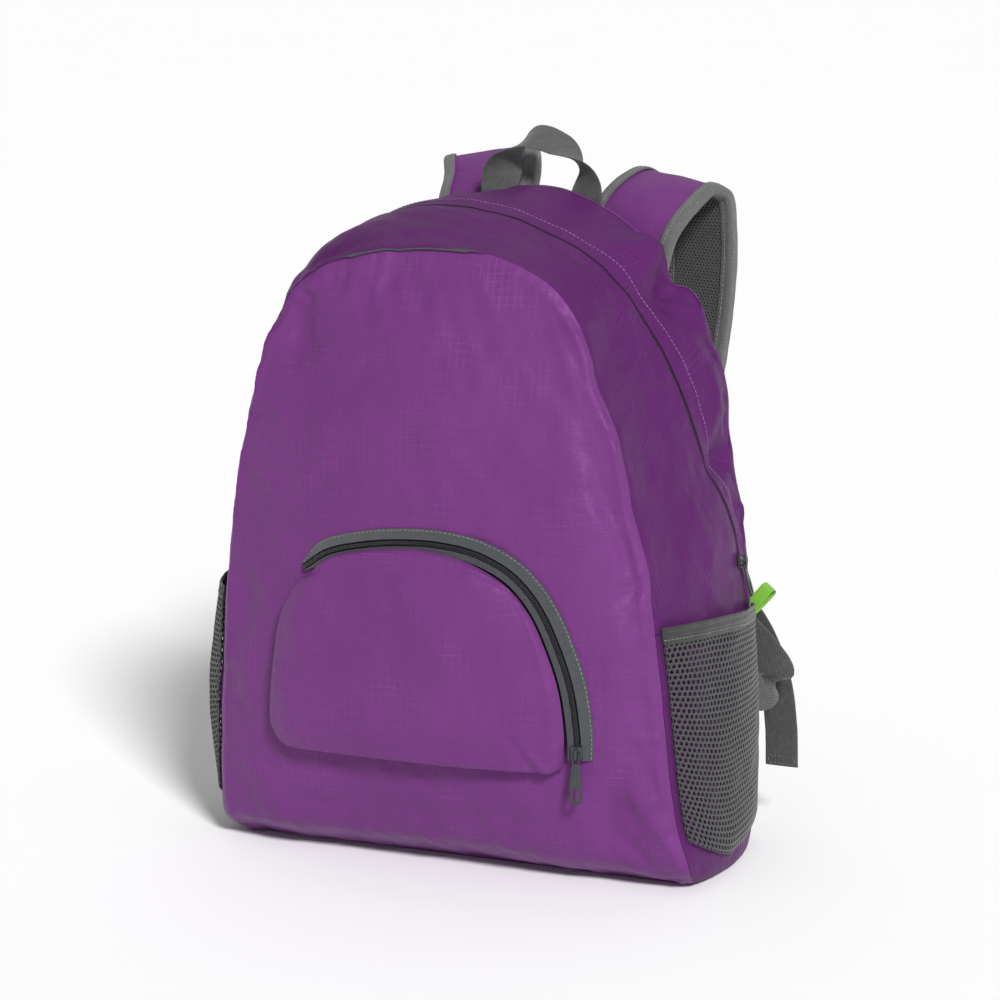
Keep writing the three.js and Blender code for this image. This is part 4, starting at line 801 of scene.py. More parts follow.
# Folds and puckers of the thin cloth
def nearest(points, line):
    """Distance from each point to a line, and how far along the line the nearest place is."""
    flat = points.reshape(-1, 3)
    reached = reached_along(line)
    gaps, spots = [], []
    for part in np.array_split(flat, max(1, len(flat) // 4000)):
        d = np.linalg.norm(part[:, None] - line[None], axis=2)
        best = np.argmin(d, axis=1)
        gaps.append(d[np.arange(len(part)), best])
        spots.append(reached[best])
    return [np.concatenate(found).reshape(points.shape[:2]) for found in (gaps, spots)]


def creases(rows, s, t):
    """Folds of a panel: place, turn in degrees, length, breadth and rise, in millimetres."""
    total = np.zeros(s.shape)
    for at, up, turn, length, breadth, rise in rows:
        c, d = math.cos(math.radians(turn)), math.sin(math.radians(turn))
        run, side = (s - at) * c + (t - up) * d, -(s - at) * d + (t - up) * c
        total += rise * np.exp(-(run / length) ** 2 - np.abs(side / breadth) ** 1.6)
    return total


def ridged(value):
    """Rounded ridges with sharper valleys between."""
    return 1 - 2 * np.abs(value) ** 1.2 - 0.3


def puckers(distance, along, seed, rise=1.0, spacing=12.0, reach=15.0, roll=0.9):
    """Short gathers that run off a seam and fade beside its rolled edge, none on the seam itself."""
    near = 1 - np.exp(-distance / 1.6)
    lean = along + distance * 0.5 * ripple(along / 60, 0 * along, seed + 3)
    wide = ridged(ripple(lean / spacing, distance / 60, seed)) * np.exp(-distance / reach)
    fine = ridged(ripple(lean / (spacing * 0.42), distance / 30, seed + 7)) * np.exp(-distance / (reach * 0.45))
    patchy = 0.7 + 0.5 * ripple(along / (spacing * 4), 0 * along, seed + 5)
    edge = roll * np.exp(-((distance - 4.6) / 3.6) ** 2)
    return near * (rise * patchy * (wide + 0.9 * fine) + edge)


def soft_cloth(s, t, seed, rise=1.0):
    """Slack of a filled cloth: broad soft dents with smaller slanting folds on them."""
    slant = s + 0.45 * t
    return rise * (1.3 * ripple(s / 55, t / 70, seed) + 0.6 * ripple(s / 23, t / 27, seed + 1)
                   + 0.4 * ridged(ripple(slant / 19, t / 58, seed + 3))
                   + 0.22 * ripple(s / 8, t / 10, seed + 2))


SHARED_DENTS = [  # seam, along, push out, reach
    (rear_seam, 0.594, 4.5, 13), (rear_seam, 0.614, -6.5, 9), (rear_seam, 0.634, 3.0, 12),
    (rear_seam, 0.665, -1.8, 12), (rear_seam, 0.705, 1.2, 14),
    (front_seam, 0.352, 2.2, 13), (front_seam, 0.375, -2.6, 11), (front_seam, 0.655, -1.6, 12),
    (front_seam, 0.690, 1.6, 14), (front_seam, 0.735, -1.6, 12), (front_seam, 0.780, 1.4, 14),
    (front_seam, 0.940, -1.4, 13), (front_seam, 0.962, 1.4, 12),
]


def dented(points, share=1.0):
    """Cloth pushed in or out beside the seams and a little uneven all over, by its place alone,
    so that neighbouring pieces stay joined."""
    x, y, z = points[..., 0], points[..., 1], points[..., 2]
    wave = (0.5 * ripple(x / 11 + y / 19, z / 12 - y / 27, 121)
            + 0.5 * ripple(x / 26 - y / 31, z / 29 + y / 37, 122))
    total = unit((points - MIDDLE) * np.array([1, 0.6, 1])) * (wave * share)[..., None]
    for line, along, push, reach in SHARED_DENTS:
        centre = line.along(along)
        away = unit((centre - MIDDLE) * np.array([1, 0, 1]))
        near = np.exp(-np.sum((points - centre) ** 2, axis=-1) / reach ** 2)
        total += near[..., None] * away * push
    total[..., 2] *= np.clip((z - 6) / 30, 0, 1)
    total[..., 2] -= (SEAM_FOOT - 0.3) * np.exp(-np.maximum(z - SEAM_FOOT, 0) / 4)
    return points + total


def moved(points, rise, middle=MIDDLE):
    return points + normals_of(points, middle) * rise[..., None]


def edge_share(points):
    """0 on a grid's border and 1 a few rows inside it."""
    high, wide = points.shape[:2]
    j, i = np.mgrid[0:high, 0:wide]
    return np.clip(np.minimum(np.minimum(i, wide - 1 - i), np.minimum(j, high - 1 - j)) / 4, 0, 1)


def grid(across, along):
    return np.meshgrid(across, along)


def even(count):
    return np.linspace(0, 1, count + 1)


FRONT_CREASES = [  # place from the middle, height, turn, length, breadth, rise
    (118, 330, -58, 34, 9, 2.2), (132, 262, -70, 30, 8, -2.0), (128, 205, -80, 40, 9, 1.8),
    (-120, 40, 8, 60, 10, 2.0), (120, 62, 76, 34, 8, -2.2), (60, 22, 4, 70, 9, 1.5),
    (-70, 330, 20, 60, 16, -1.6), (20, 300, 84, 50, 15, 1.3), (147, 66, 118, 26, 6, 2.4),
    (154, 82, 112, 24, 5, -2.0), (138, 40, 136, 26, 7, -2.0), (66, 372, 12, 40, 9, -1.8),
    (-96, 380, 28, 26, 8, -2.2), (-60, 392, 8, 40, 7, 1.6), (-134, 215, 84, 36, 9, -1.6),
    (-128, 150, 70, 30, 10, 1.6), (105, 372, -40, 26, 7, 1.8), (140, 235, -72, 26, 6, -1.6),
    (-20, 404, 2, 60, 6, -1.6), (0, 62, 2, 80, 10, -1.4),
]
POCKET_CREASES = [  # the same, with the height from the pocket's lower edge
    (88, 12, 140, 13, 3.2, 2.0), (80, 16, 128, 15, 3.0, -1.8), (30, 70, 78, 40, 14, 1.3),
    (-8, 60, 84, 42, 13, -1.0), (60, 96, 62, 22, 8, 0.9), (-30, 104, 100, 20, 9, -0.8),
]


front_line, rear_line = (line.along(even(900)) for line in (front_seam, rear_seam))


def slack(points, near, seed, gathers, soft, calm=0.0, rows=()):
    """Rise of a panel's cloth: gathers off its seams, slack that calms near them, and its folds."""
    gap, place = near
    s, t = measured(points)
    loose = soft_cloth(s, t, seed + 1, soft) * np.clip(gap / max(calm, 1e-6), 0, 1)
    return puckers(gap, place, seed, *gathers) + loose + creases(rows, s, t)


def build_front():
    points = front_point(*grid(even(150), even(150)))
    rise = slack(points, nearest(points, front_line), 11, (2.7, 13, 17, 1.7), 1.4, 20, FRONT_CREASES)
    beyond = np.maximum(np.abs(points[..., 0]) - POCKET_HALF - 12, np.abs(points[..., 2] - 150) - 82)
    under_pocket = np.clip(1 - beyond / 16, 0, 1)
    rise = rise * (1 - under_pocket) + np.minimum(rise, 0.2) * under_pocket
    points = dented(moved(points, rise * edge_share(points)), 1 - under_pocket)
    cloth_wall("front_panel_cloth", points, CLOTH, purple, "purple_ripstop", "front_panel")


def build_back():
    points = back_point(*grid(even(90), even(90)))
    rise = slack(points, nearest(points, rear_line), 21, (0.8,), 0.7, 20)
    points = dented(moved(points, np.minimum(rise, 0.4) * edge_share(points)))
    cloth_wall("back_panel_cloth", points, CLOTH, purple, "purple_ripstop", "back_panel")


def side_rows(alongs, shares):
    """Side cloth at each place along, at shares across given by functions of along."""
    a = np.repeat(alongs[:, None], len(shares), axis=1)
    b = np.stack([share + np.zeros(len(alongs)) for share in shares], axis=1)
    return side_point(slanted(a, b), b)


def between(first, last, count):
    return [first + (last - first) * s for s in even(count)]


GUSSET_CREASES = {  # place across, place along, turn, length, breadth, rise
    "gusset_front": [(6, 453, 78, 26, 6, 1.6), (15, 541, 84, 30, 6, -1.5), (13, 606, 88, 26, 6, 1.4),
                     (-20, 600, 70, 22, 6, -1.6), (-24, 195, 10, 16, 6, -2.4), (-18, 215, 20, 18, 6, 2.0),
                     (-10, 330, 80, 50, 7, 1.2), (18, 400, 70, 34, 6, -1.2), (-26, 243, 88, 20, 5, -1.6),
                     (22, 501, 95, 26, 6, 1.2), (0, 640, 60, 24, 6, 1.4)],
    "gusset_rear": [(24, 446, 8, 20, 6, 2.4), (26, 466, -6, 20, 5, -2.6), (18, 488, 20, 20, 6, 1.8),
                    (22, 520, 60, 28, 6, -1.4), (6, 560, 84, 40, 7, 1.4), (-4, 620, 80, 30, 6, -1.3),
                    (10, 300, 75, 40, 7, 1.0), (8, 200, 100, 40, 7, -1.0)],
}
GUSSET_ROWS, GUSSET_COLUMNS, TOPSTITCH_INSET = 420, 26, 13.0
CROWN_MIDDLE, CROWN_HALF = 0.483, 0.06  # where the cloth folds forward over the front seam's tape


def build_gussets():
    alongs = np.linspace(ZIP_START, 1 - ZIP_START, GUSSET_ROWS)
    front, rear, lap, rear_lap = zip_edges(alongs)
    depth = seam_depth(alongs)
    rim = SEAM_TUCK / depth
    for name, first, last, line, seed in (("gusset_front", rim, front, front_line, 31),
                                          ("gusset_rear", rear, 1 - rim, rear_line, 41)):
        points = side_rows(alongs, between(first, last, GUSSET_COLUMNS))
        near = nearest(points, line)
        gap = near[0]
        rise = slack(points, near, seed, (2.4, 13, 16, 1.5), 1.3, 0, GUSSET_CREASES[name]) * edge_share(points)
        if name == "gusset_front":
            crown = np.clip(1 - np.abs((alongs - CROWN_MIDDLE) / CROWN_HALF) ** 4, 0, 1)[:, None]
            crown = crown * np.exp(-(gap / 6) ** 2)
            rise += 1.6 * crown
            points[..., 1] -= 2.6 * crown
        points = dented(moved(points, rise - 1.1 * np.exp(-(gap / 2.2) ** 2)))
        cloth_wall(name + "_cloth", points, CLOTH, shaded_side_purple, "purple_ripstop", name)
    # The topstitched row runs on the rear gusset, the last made, at an even distance from the zip
    share = TOPSTITCH_INSET / np.maximum(depth * (last - first), 20)
    column = np.clip(share * GUSSET_COLUMNS, 1, GUSSET_COLUMNS - 2)
    k, rows, n = column.astype(int), np.arange(GUSSET_ROWS), normals_of(points)
    f = (column - k)[:, None]
    row = points[rows, k] * (1 - f) + points[rows, k + 1] * f
    stitches["purple"].append(((row + n[rows, k] * 0.1)[30:392], n[rows, k][30:392]))
    tape = dented(side_rows(alongs, between(front - lap, rear + rear_lap, 12)))
    cloth_wall("main_zip_tape_cloth", tape, TAPE, tape_grey, "grey_zip_tape", "main_zip_tape",
               sink=CLOTH + SEAM_GAP)
    coil = dented(side_rows(alongs, between(front + SEAM_GAP / depth, front + (ZIP_SLOT - SEAM_GAP) / depth, 4)))
    cloth_wall("main_zip_coil_cord", coil, 0.5, coil_black, "black_coil", "main_zip_coil", sink=CLOTH - 0.5)
    middle = front + ZIP_SLOT / 2 / depth
    row = dented(side_rows(alongs, [middle - 0.2 / depth, middle, middle + 0.2 / depth]))
    n = normals_of(row)
    teeth = line_points("main_zip_teeth", [(row[:, 1] - n[:, 1] * 0.75, n[:, 1])], 1.5)
    grown(teeth, "tooth", coil_black, "black_coil", Half_width=0.0012, Height=0.0007, Wire=0.00038)


def build_crown_tape():
    """Edge of the seam's grey tape, seen where the crown's fold stands open."""
    base = dented(front_seam.along(np.linspace(0.436, 0.532, 90))[:, None])
    ends = np.clip((1 - np.abs(np.linspace(-1, 1, 90))) * 6, 0.3, 1)
    down = even(5) * (1.8 * ends)[:, None]
    points = base + np.stack([0 * down, -1.7 - 0.1 * down, 0.9 - down], axis=2)
    cloth_wall("crown_seam_tape", points, TAPE * 0.6, tape_grey, "grey_zip_tape")


def build_sides():
    end = ZIP_START - SEAM_GAP / front_seam.length
    for side in ("left", "right"):
        alongs = np.linspace(0, end, 70) if side == "left" else 1 - np.linspace(0, end, 70)
        rim = SEAM_TUCK / seam_depth(alongs)
        points = side_rows(alongs, between(rim, 1 - rim, 60))
        rise = slack(points, nearest(points, front_line), 51, (0.5, 12, 15, 0.45), 0.5) * edge_share(points)
        points = dented(moved(points, np.minimum(rise, 0.25)))
        cloth_wall(f"side_panel_{side}_cloth", points, CLOTH, shaded_side_purple, "purple_ripstop", f"side_panel_{side}")


def build_base():
    right, left = side_point(1.0, even(40)), side_point(0.0, even(40))
    share = even(40)[None, :, None]
    points = left[:, None] * (1 - share) + right[:, None] * share
    points[..., 2] = CLOTH
    up = normals_of(points, np.array([0, 0, -50.0]))
    cloth_wall("base_cloth", points, CLOTH, purple, "purple_ripstop", "base_panel", out=up)


def build_nets():
    height = front_seam.length * (net_head - net_foot)
    width = float(seam_depth(np.array([net_foot + net_head]) / 2)[0]) * 0.94 * 1.12
    head = (elastic_head - net_head) / (net_head - net_foot)
    for side in ("left", "right"):
        def inner(u, v, side=side):
            cut = 0.17 * np.clip(1 - u / 0.4, 0, 1) ** 1.6
            return dented(net_point(side, u, cut + (1 - cut) * v))

        sheet = lattice(f"net_{side}_knit", inner, width, height, 4.6)
        face_out(sheet, lambda places: places - MIDDLE)
        for v, place in [(v, v.co + v.normal * -0.9 * MM) for v in sheet.data.vertices]:
            v.co = place
        sheet.data.update()
        grown(sheet, "net", net_yarn, "grey_mesh", f"net_pocket_{side}", Hole_share=0.69, Yarn=0.0009)
        u, v = grid(even(80), np.linspace(1 + SEAM_GAP * head / ELASTIC_WIDTH, 1 + head, 25))
        share = (v - v[0, 0]) / (v[-1, 0] - v[0, 0])
        ribs = 0.5 * np.abs(np.sin(share * math.pi * 3)) ** 0.5 - 0.35
        band = moved(dented(net_point(side, u, v)), ribs + 0.18 * ripple(u * 44, share * 2, 61))
        cloth_wall(f"net_elastic_{side}_band", band, ELASTIC_WALL - 0.3, elastic_grey, "grey_webbing",
                   f"net_elastic_{side}")
        n = normals_of(band)
        stitches["grey"].append((band[6] + n[6] * 0.1, n[6]))


def face_out(piece, directions):
    """Turns an open sheet's faces round if most point against the directions at their centres."""
    faces = piece.data.polygons
    centres, normals = (np.array([getattr(f, key) for f in faces]) for key in ("center", "normal"))
    areas = np.array([f.area for f in faces])
    if np.sum(directions(centres / MM) * normals * areas[:, None]) < 0:
        piece.data.flip_normals()


def arc_band(name, first, last, lifts, wall, material, slot, node_name, rib=0.0, taper=0.0):
    u, v = grid(even(260), even(10))
    out = first + (last - first) * v * (1 - taper * np.exp(-(u / 0.045) ** 2))
    (share0, plus0), (share1, plus1) = lifts
    lift = arc_lift(u) * (share0 + (share1 - share0) * v) + plus0 + (plus1 - plus0) * v
    points = beside_arc(u, out, lift)
    points = moved(points, rib * ripple(u * 40, v, 71) * edge_share(points))
    cloth_wall(name, points, wall, material, slot, node_name)
    return points, normals_of(points)


def build_pocket():
    u, v = grid(even(120), even(110))
    points = pocket_point(u, v)
    s, t = measured(points)
    gap = np.minimum.reduce([u * 190, (1 - u) * 190, (1 - v) * 130, v * 130])
    place = np.where((1 - v) * 130 < np.minimum(u, 1 - u) * 190, s, t)
    rise = slack(points, (gap, place), 81, (1.0, 12, 12, 1.1), 1.2, 25, POCKET_CREASES)
    points = moved(points, rise * edge_share(points))
    points[..., 2] -= (4.0 * np.exp(-((v - 0.05) / 0.045) ** 2)
                       * quarter_round(u, 0.07) * quarter_round(1 - u, 0.07) * np.clip(v / 0.02, 0, 1))
    # The cloth's top edge laps out over the inner tape
    lap = eased([0, 0.1, 0.22, 0.5, 0.74, 0.95], [0, 0.5, 1, 1, 0.35, 0], u)
    over, lift = lap * np.exp(-((1 - v) / 0.07) ** 2), lap * np.exp(-((1 - v) / 0.1) ** 2)
    away = beside_arc(u * ARC_CORNER, 1.0) - beside_arc(u * ARC_CORNER, 0.0)
    points += away * (4.4 * over)[..., None]
    points[..., 1] -= 1.5 * lift
    cloth_wall("pocket_cloth", points, CLOTH, pocket_purple, "purple_ripstop", "pocket_panel")
    half = POCKET_COIL / 2
    flat, hem = (1, POCKET_HEM), (0, TAPE + SEAM_GAP)
    outer, inner = half + SEAM_GAP + TAPE * 0.8, -half - SEAM_GAP
    tape, n = arc_band("pocket_tape_outer", outer, outer + OUTER_TAPE, (flat, hem), TAPE, tape_grey,
                       "grey_zip_tape", "pocket_zip_tape_outer", 0.25, 0.85)
    stitches["grey"].append((tape[8] + n[8] * 0.15, n[8]))
    arc_band("pocket_tape_inner", inner, inner - INNER_TAPE, (flat, flat), TAPE, tape_grey,
             "grey_zip_tape", "pocket_zip_tape_inner", 0.2, 0.8)
    coil, n = arc_band("pocket_coil_cord", -half + 0.2, half - 0.2, (flat, flat), 0.8, coil_black,
                       "black_coil", "pocket_zip_coil")
    teeth = line_points("pocket_zip_teeth", [(coil[k] - n[k] * 0.1, n[k]) for k in (3, 7)], 1.35)
    grown(teeth, "tooth", coil_black, "black_coil", Half_width=0.001, Height=0.0009, Wire=0.00034)


def hard_piece(name, body, material, slot, bevel):
    """A CAD part's copy with its doubles merged and its edges rounded, as cast or moulded."""
    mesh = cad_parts[name].data.copy()
    work = bmesh.new()
    work.from_mesh(mesh)
    bmesh.ops.remove_doubles(work, verts=work.verts, dist=0.00002)
    bmesh.ops.dissolve_limit(work, angle_limit=math.radians(3), verts=work.verts, edges=work.edges)
    sharp = [e for e in work.edges if len(e.link_faces) == 2 and e.calc_face_angle(0) > math.radians(28)]
    bmesh.ops.bevel(work, geom=sharp, offset=bevel * MM, segments=2, profile=0.6, affect="EDGES",
                    clamp_overlap=True)
    work.to_mesh(mesh)
    work.free()
    smooth(mesh, 50)
    dress(placed(name + "_finished", mesh), material, slot, name, body=body)


def ribbed(point, broad, face, lengths, width, wall, ribs=9, rise=0.16):
    """Rings of a webbing strip with lengthwise ribs and rounded edges."""
    across = np.linspace(-1, 1, 37)
    rib = rise * np.abs(np.sin((across + 1) * math.pi * ribs / 2)) - rise
    thick = (wall / 2 + rib) * np.sqrt(np.clip(1 - np.abs(across) ** 14, 0.12, 1))
    b = np.concatenate([across, across[::-1]]) * width / 2
    f = np.concatenate([-thick, thick[::-1]])
    wave = 0.12 * ripple(lengths[:, None] / 6, b[None] / 9, 91)
    return ring_points(point, broad, face, np.broadcast_to(b, wave.shape), f + wave * np.sign(f))


def build_webbing(name, rows, node_name, spacing=1.6):
    point, broad, face, t, length = even_stations(rows, spacing)
    lengths = np.linspace(0, length, len(point))
    piece = swept(name, ribbed(point, broad, face, lengths, WEBBING_WIDTH, WEBBING_WALL), lengths)
    dress(piece, webbing_grey, "grey_webbing", node_name)
    return point, broad, face, lengths


def box_tack(point, broad, face, first, last, width, sign):
    """Two rows of stitches across a webbing end, joined by its two side rows."""
    inset = width / 2 - 2.5
    lift = face * (sign * (WEBBING_WALL / 2 + 0.12))
    for k in (first, last):
        share = np.linspace(-1, 1, 12)[:, None] * inset
        outs = np.repeat(face[k][None] * sign, 12, axis=0)
        stitches["grey"].append((point[k] + broad[k] * share + lift[k], outs))
    for edge in (-1, 1):
        part = slice(min(first, last), max(first, last) + 1)
        side_row = point[part] + broad[part] * inset * edge + lift[part]
        stitches["grey"].append((side_row, face[part] * sign))


def build_handle():
    climb = HANDLE_PEAK - BAG_HEIGHT
    rows = [((out * HANDLE_HALF, back * REAR_REACH, BAG_HEIGHT + rise * climb), (x, y, z))
            for out, back, rise, x, y, z in HANDLE]
    build_webbing("grab_handle_webbing", rows, "grab_handle")


def strap_rows(side):
    rows = []
    for out, back, up, yaw, dip, left, wide in STRAP:
        share = left if side < 0 else 0.0
        x, z = out * FRONT_HALF - LEFT_INSET * share, up * BAG_HEIGHT + LEFT_RISE * share
        a, b = math.radians(yaw), math.radians(dip)
        rows.append(((side * x, back * STRAP_REACH, z),
                     (side * math.cos(a) * math.cos(b), math.sin(a) * math.cos(b), math.sin(b))))
    return rows


def strap_half(share):
    return STRAP_WIDTH / 2 * eased(np.linspace(0, 1, len(STRAP)), [row[6] for row in STRAP], share)


def build_strap(name, side):
    rows = strap_rows(side)
    point, broad, face, t, length = even_stations(rows, 1.7)
    lengths = np.linspace(0, length, len(point))
    half = strap_half(t) + 0.35 * ripple(lengths / 22, 0 * lengths, 95)
    pad_half = half - BINDING_WALL - RIM_GAP
    thick = STRAP_PAD / 2
    edge = thick * 0.55
    across = np.sin(np.linspace(-1, 1, 41) * math.pi / 2)
    dome = edge + (thick - edge) * np.clip((1 - np.abs(across)) / 0.26, 0, 1) ** 0.8
    puff = np.clip(1 - (across / 0.78) ** 2, 0, 1)
    b = pad_half[:, None] * across[None]
    fold = (ripple(lengths[:, None] / 16 + 0.03 * b, b / 30, 97) * 0.7
            + ripple(lengths[:, None] / 7, b / 14, 98) * 0.25)
    outer = dome[None] + puff[None] * (1.0 + fold)
    lined = np.broadcast_to(dome[None] - 0.05, outer.shape)
    low, high = (outer, lined) if side > 0 else (lined, outer)
    ring_b = np.concatenate([b, b[:, ::-1]], axis=1)
    ring_f = np.concatenate([-low, high[:, ::-1]], axis=1)
    piece = swept(f"strap_pad_{name}_cushion", ring_points(point, broad, face, ring_b, ring_f), lengths)
    dress(piece, [purple, foam_dark], "purple_ripstop", f"strap_pad_{name}")
    net_side = face * side
    for polygon in piece.data.polygons:
        k = polygon.vertices[0] // 82
        polygon.material_index = int(polygon.normal.dot(Vector(net_side[min(k, len(net_side) - 1)])) > 0.2)
    stand = BINDING_WALL + RIM_GAP
    for edge_name, sign in (("inner", -1), ("outer", 1)):
        upper = [(-8.0, thick + stand, 0), (-4.5, thick + stand - 0.45, 0),
                 (-1.5, edge + stand + 0.35, 0), (-0.1, edge + 0.4, 0)]
        lower = [(x, -y, 0) for x, y, _ in upper[::-1]]
        curve = Route(upper + [(0, 0, 0)] + lower).along(even(26))
        wave = 0.2 * ripple(lengths[:, None] / 9, np.arange(27)[None] / 6, 99)
        bb = sign * (half[:, None] + curve[None, :, 0])
        ff = curve[None, :, 1] + wave * np.sign(curve[None, :, 1])
        rows_of = ring_points(point, broad, face, bb, np.broadcast_to(ff, bb.shape))
        centre = point[:, None] + broad[:, None] * (sign * (half[:, None, None] - 6))
        out = unit(rows_of - centre)
        n = unit(np.cross(np.gradient(rows_of, axis=1), np.gradient(rows_of, axis=0)))
        if np.sum(n * out) < 0:
            n = -n
        binding = f"strap_binding_{edge_name}_{name}"
        cloth_wall(binding + "_tape", rows_of, BINDING_WALL, binding_grey, "grey_binding", binding, out=n)
        for k in (3, 23):
            stitches["grey"].append((rows_of[:, k] + n[:, k] * 0.12, n[:, k]))
    reach = half.mean() - BINDING_WIDTH - 0.4

    def lining(u, v):
        route = Route([row[0] for row in rows])
        shares = route.share(v[:, 0])
        p, bd, fc, tt = stations(rows, len(shares) - 1, shares)
        wide = (strap_half(tt) - BINDING_WIDTH - 0.4)[:, None] * (2 * u - 1)
        return p[:, None] + bd[:, None] * wide[..., None] + fc[:, None] * (side * (thick + SEAM_GAP))

    sheet = lattice(f"strap_lining_{name}_knit", lining, 2 * reach, length, 3.0, 0.8)
    face_out(sheet, lambda places: net_side[
        [int(np.argmin(np.sum((point - place) ** 2, axis=1))) for place in places]])
    grown(sheet, "net", lining_yarn, "grey_mesh", f"strap_net_{name}", Hole_share=0.55, Yarn=0.0009)


def lock_matrix(side):
    turn = (Matrix.Rotation(side * math.radians(-6), 4, "Z")
            @ Matrix.Rotation(-side * math.radians(30), 4, "Y"))
    turn.translation = Vector((side * 0.498 * FRONT_HALF, 0.716 * STRAP_REACH, 0.434 * BAG_HEIGHT))
    return np.array(turn)


LEG = LOCK_WALL / 2 + SEAM_GAP + WEBBING_WALL / 2
UPPER_FOOT = LOCK_HEIGHT / 2 - LOCK_BAR
MIDDLE_HEAD = UPPER_FOOT - UPPER_SLOT
LOWER_HEAD = -LOCK_HEIGHT / 2 + LOCK_BAR


def bar_turn(centre, sign):
    return [(0, LEG * math.cos(a), centre + sign * LEG * math.sin(a))
            for a in np.linspace(0, math.pi, 7)]


def build_lower(name, side):
    matrix = lock_matrix(side)
    across = matrix[:3, 0]

    def held(place):
        return (matrix[:3, :3] @ np.array(place, float) + matrix[:3, 3], across)

    def free(row):
        out, back, up, x, y, z = row
        return ((side * out * FRONT_HALF, back * STRAP_REACH, up * BAG_HEIGHT), (x, side * y, side * z))

    foot = -LOCK_HEIGHT / 2 - 4
    rows = ([free(row) for row in TAIL] + [held((0, LEG, foot)), held((0, LEG, LOWER_HEAD))]
            + [held(p) for p in bar_turn(MIDDLE_HEAD - 0.2, 1)]
            + [held((0, -LEG, LOWER_HEAD)), held((0, -LEG, foot))] + [free(row) for row in LOAD])
    webbing = f"strap_webbing_{name}"
    point, broad, face, lengths = build_webbing(webbing + "_tape", rows, webbing)
    for sign in (-1, 1):
        box_tack(point, broad, face, 1, 4, WEBBING_WIDTH, sign)
    p, b, f, t = stations(strap_rows(side), 17)
    end_point, end_broad, end_face = p[-1], b[-1], f[-1]
    run = unit(p[-1] - p[-2])

    def sewn(stand, below):
        return (end_point - end_face * side * stand + run * below, end_broad * side)

    rows = ([sewn(LEG, SEAM_GAP), sewn(LEG, 4), held((0, LEG + SEAM_GAP, LOCK_HEIGHT / 2 + 4.5)),
             held((0, LEG, UPPER_FOOT + 2))] + [held(q) for q in bar_turn(UPPER_FOOT + 0.2, -1)]
            + [held((0, -LEG, UPPER_FOOT + 2)), held((0, -LEG - 3 * SEAM_GAP, LOCK_HEIGHT / 2 + 4.5)),
               sewn(-LEG, 4), sewn(-LEG, SEAM_GAP)])
    build_webbing(f"strap_tab_{name}_tape", rows, f"strap_tab_{name}", 1.0)
    hard_piece(f"ladder_lock_{name}", "bag", acetal, "black_plastic", 0.5)


def build_loop():
    half, tip = TAB_LOOP / 2 - TAB_CLOTH / 2, TAB_LENGTH - TAB_LOOP / 2
    arc = [(tip + half * math.cos(a), half * math.sin(a))
           for a in np.linspace(-math.pi / 2, math.pi / 2, 9)]
    flat = [(TAB_CLOTH, -0.5), (tip * 0.3, -half * 0.55), (tip * 0.6, -half * 0.97)] + arc + \
           [(tip * 0.6, half * 0.97), (tip * 0.3, half * 0.55), (TAB_CLOTH, 0.5)]
    height = NET_TOP - NET_SLOPE + ELASTIC_WIDTH * 0.4
    spot = rear_seam.along(1 - along_at_height(height)) + np.array([-6, 2.8, -5])
    turn = (Matrix.Rotation(math.radians(30), 4, "Z") @ Matrix.Rotation(math.radians(-48), 4, "Y")
            @ Matrix.Rotation(math.radians(-40), 4, "X"))
    turn = np.array(turn)[:3, :3]
    rows = [(turn @ np.array([x, y, 0.0]) + spot, turn @ np.array([0, 0, 1.0])) for x, y in flat]
    point, broad, face, t, length = even_stations(rows, 0.8)
    lengths = np.linspace(0, length, len(point))
    rings = ribbed(point, broad, face, lengths, TAB_BREADTH, TAB_CLOTH, 5, 0.08)
    dress(swept("loop_tab_tape", rings, lengths), lime, "lime_tape", "loop_tab")


build_base()
build_front()
build_back()
build_sides()
build_gussets()
build_crown_tape()
build_nets()
build_pocket()
build_handle()
for side_name, side_sign in (("left", -1), ("right", 1)):
    build_strap(side_name, side_sign)
    build_lower(side_name, side_sign)
build_loop()
for part, ridden, rounding in (("pocket_zip_slider", "bag", 0.3), ("main_zip_slider", "bag", 0.3),
                               ("pocket_zip_pull", "pocket_pull", 0.25), ("main_zip_pull", "main_pull", 0.25)):
    hard_piece(part, ridden, painted_metal, "grey_painted_metal", rounding)
for tone, material in (("purple", thread_purple), ("grey", thread_grey)):
    dots = line_points(f"stitches_{tone}", stitches[tone], 3.0)
    grown(dots, "stitch", material, None, Stitch_length=0.0025, Thread_width=0.0007)


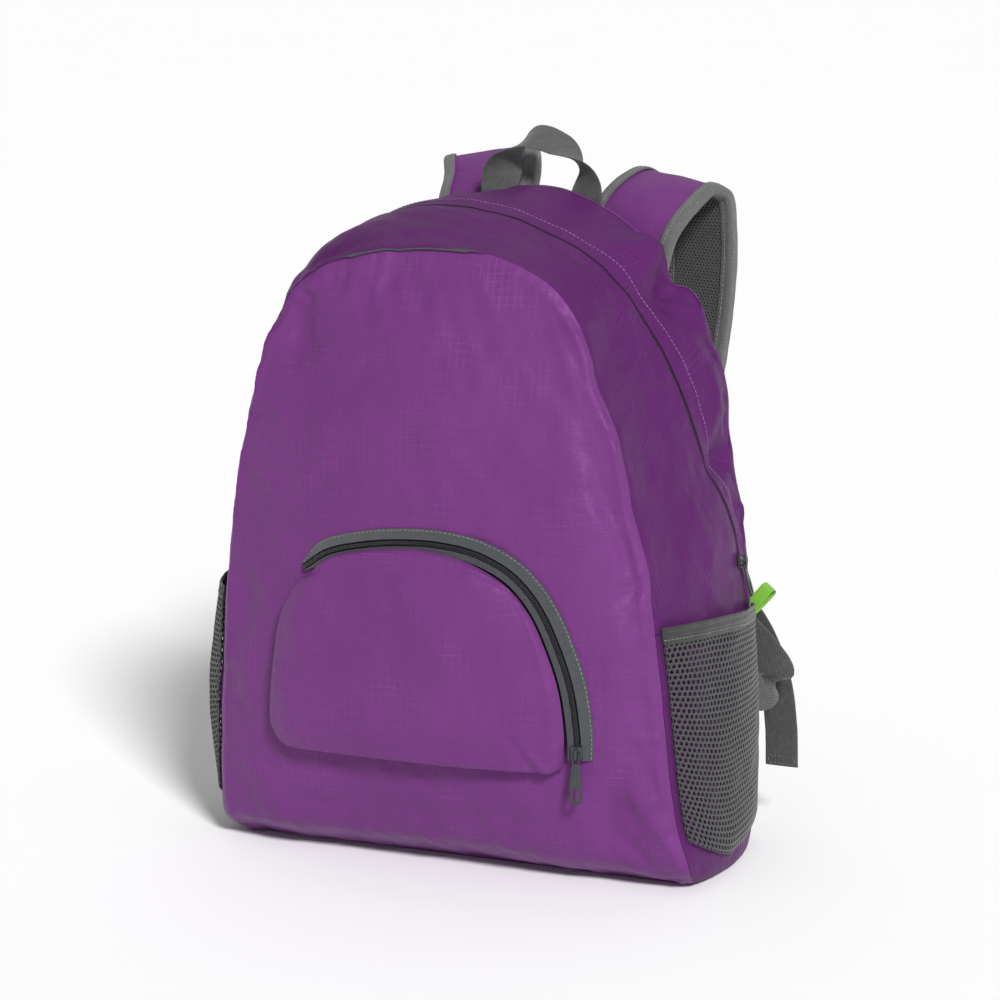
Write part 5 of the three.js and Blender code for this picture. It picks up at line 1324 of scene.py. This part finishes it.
# Floor, light and camera
def build_floor():
    corners = [(x * 40000, y * 40000, 0) for x, y in ((-1, -1), (1, -1), (1, 1), (-1, 1))]
    floor = make("floor", corners, [(0, 1, 2, 3)])
    material, tree, surface, local = new_material("matt_white_paper", 0.9)
    cloud = node(tree, "ShaderNodeTexNoise", {"Vector": local, "Scale": 3, "Detail": 1.0})
    paper = node(tree, "ShaderNodeMix", {0: cloud, 6: "#fefefe", 7: "#ffffff"}, data_type="RGBA")
    fill(tree, surface, {"Base Color": paper.outputs[2]})
    floor.data.materials.append(material)


def direction(azimuth, elevation):
    a, e = math.radians(azimuth), math.radians(elevation)
    return Vector((math.sin(a) * math.cos(e), -math.cos(a) * math.cos(e), math.sin(e)))


def soft_sun(name, azimuth, elevation, strength, spread):
    light = bpy.data.lights.new(name, "SUN")
    light.energy, light.angle = strength, math.radians(spread)
    lamp = bpy.data.objects.new(name, light)
    lamp.matrix_world = direction(azimuth, elevation).to_track_quat("Z", "Y").to_matrix().to_4x4()
    scene.collection.objects.link(lamp)


def build_studio():
    world = bpy.data.worlds.new("studio")
    world.use_nodes = True
    tree = world.node_tree
    look = node(tree, "ShaderNodeSeparateXYZ", {0: node(tree, "ShaderNodeTexCoord").outputs["Generated"]})
    # Bright near the horizon, so that no grey band stands behind the floor, and dim above
    glow = node(tree, "ShaderNodeMapRange", {0: look.outputs[2], 1: 0.13, 2: 0.28, 3: 0.9, 4: 0.16})
    fill(tree, tree.nodes["Background"], {0: "#ffffff", 1: glow})
    scene.world = world
    scene.view_settings.view_transform = "Standard"
    soft_sun("key", 42, 34, 3.6, 12)
    soft_sun("overhead", 20, 78, 0.25, 60)
    soft_sun("back_fill", 205, 55, 0.4, 60)


def build_camera():
    back, right = direction(25, 10), direction(115, 0)
    camera = bpy.data.objects.new("camera", bpy.data.cameras.new("camera"))
    camera.data.lens, camera.data.sensor_width = 122.4, 36
    camera.data.clip_end = 50
    turn = Matrix((right, back.cross(right), back)).transposed().to_4x4()
    camera.matrix_world = Matrix.Translation(Vector((0, 0, 0.223)) + back * 2.2) @ turn
    scene.collection.objects.link(camera)
    scene.camera = camera


build_floor()
build_studio()
build_camera()
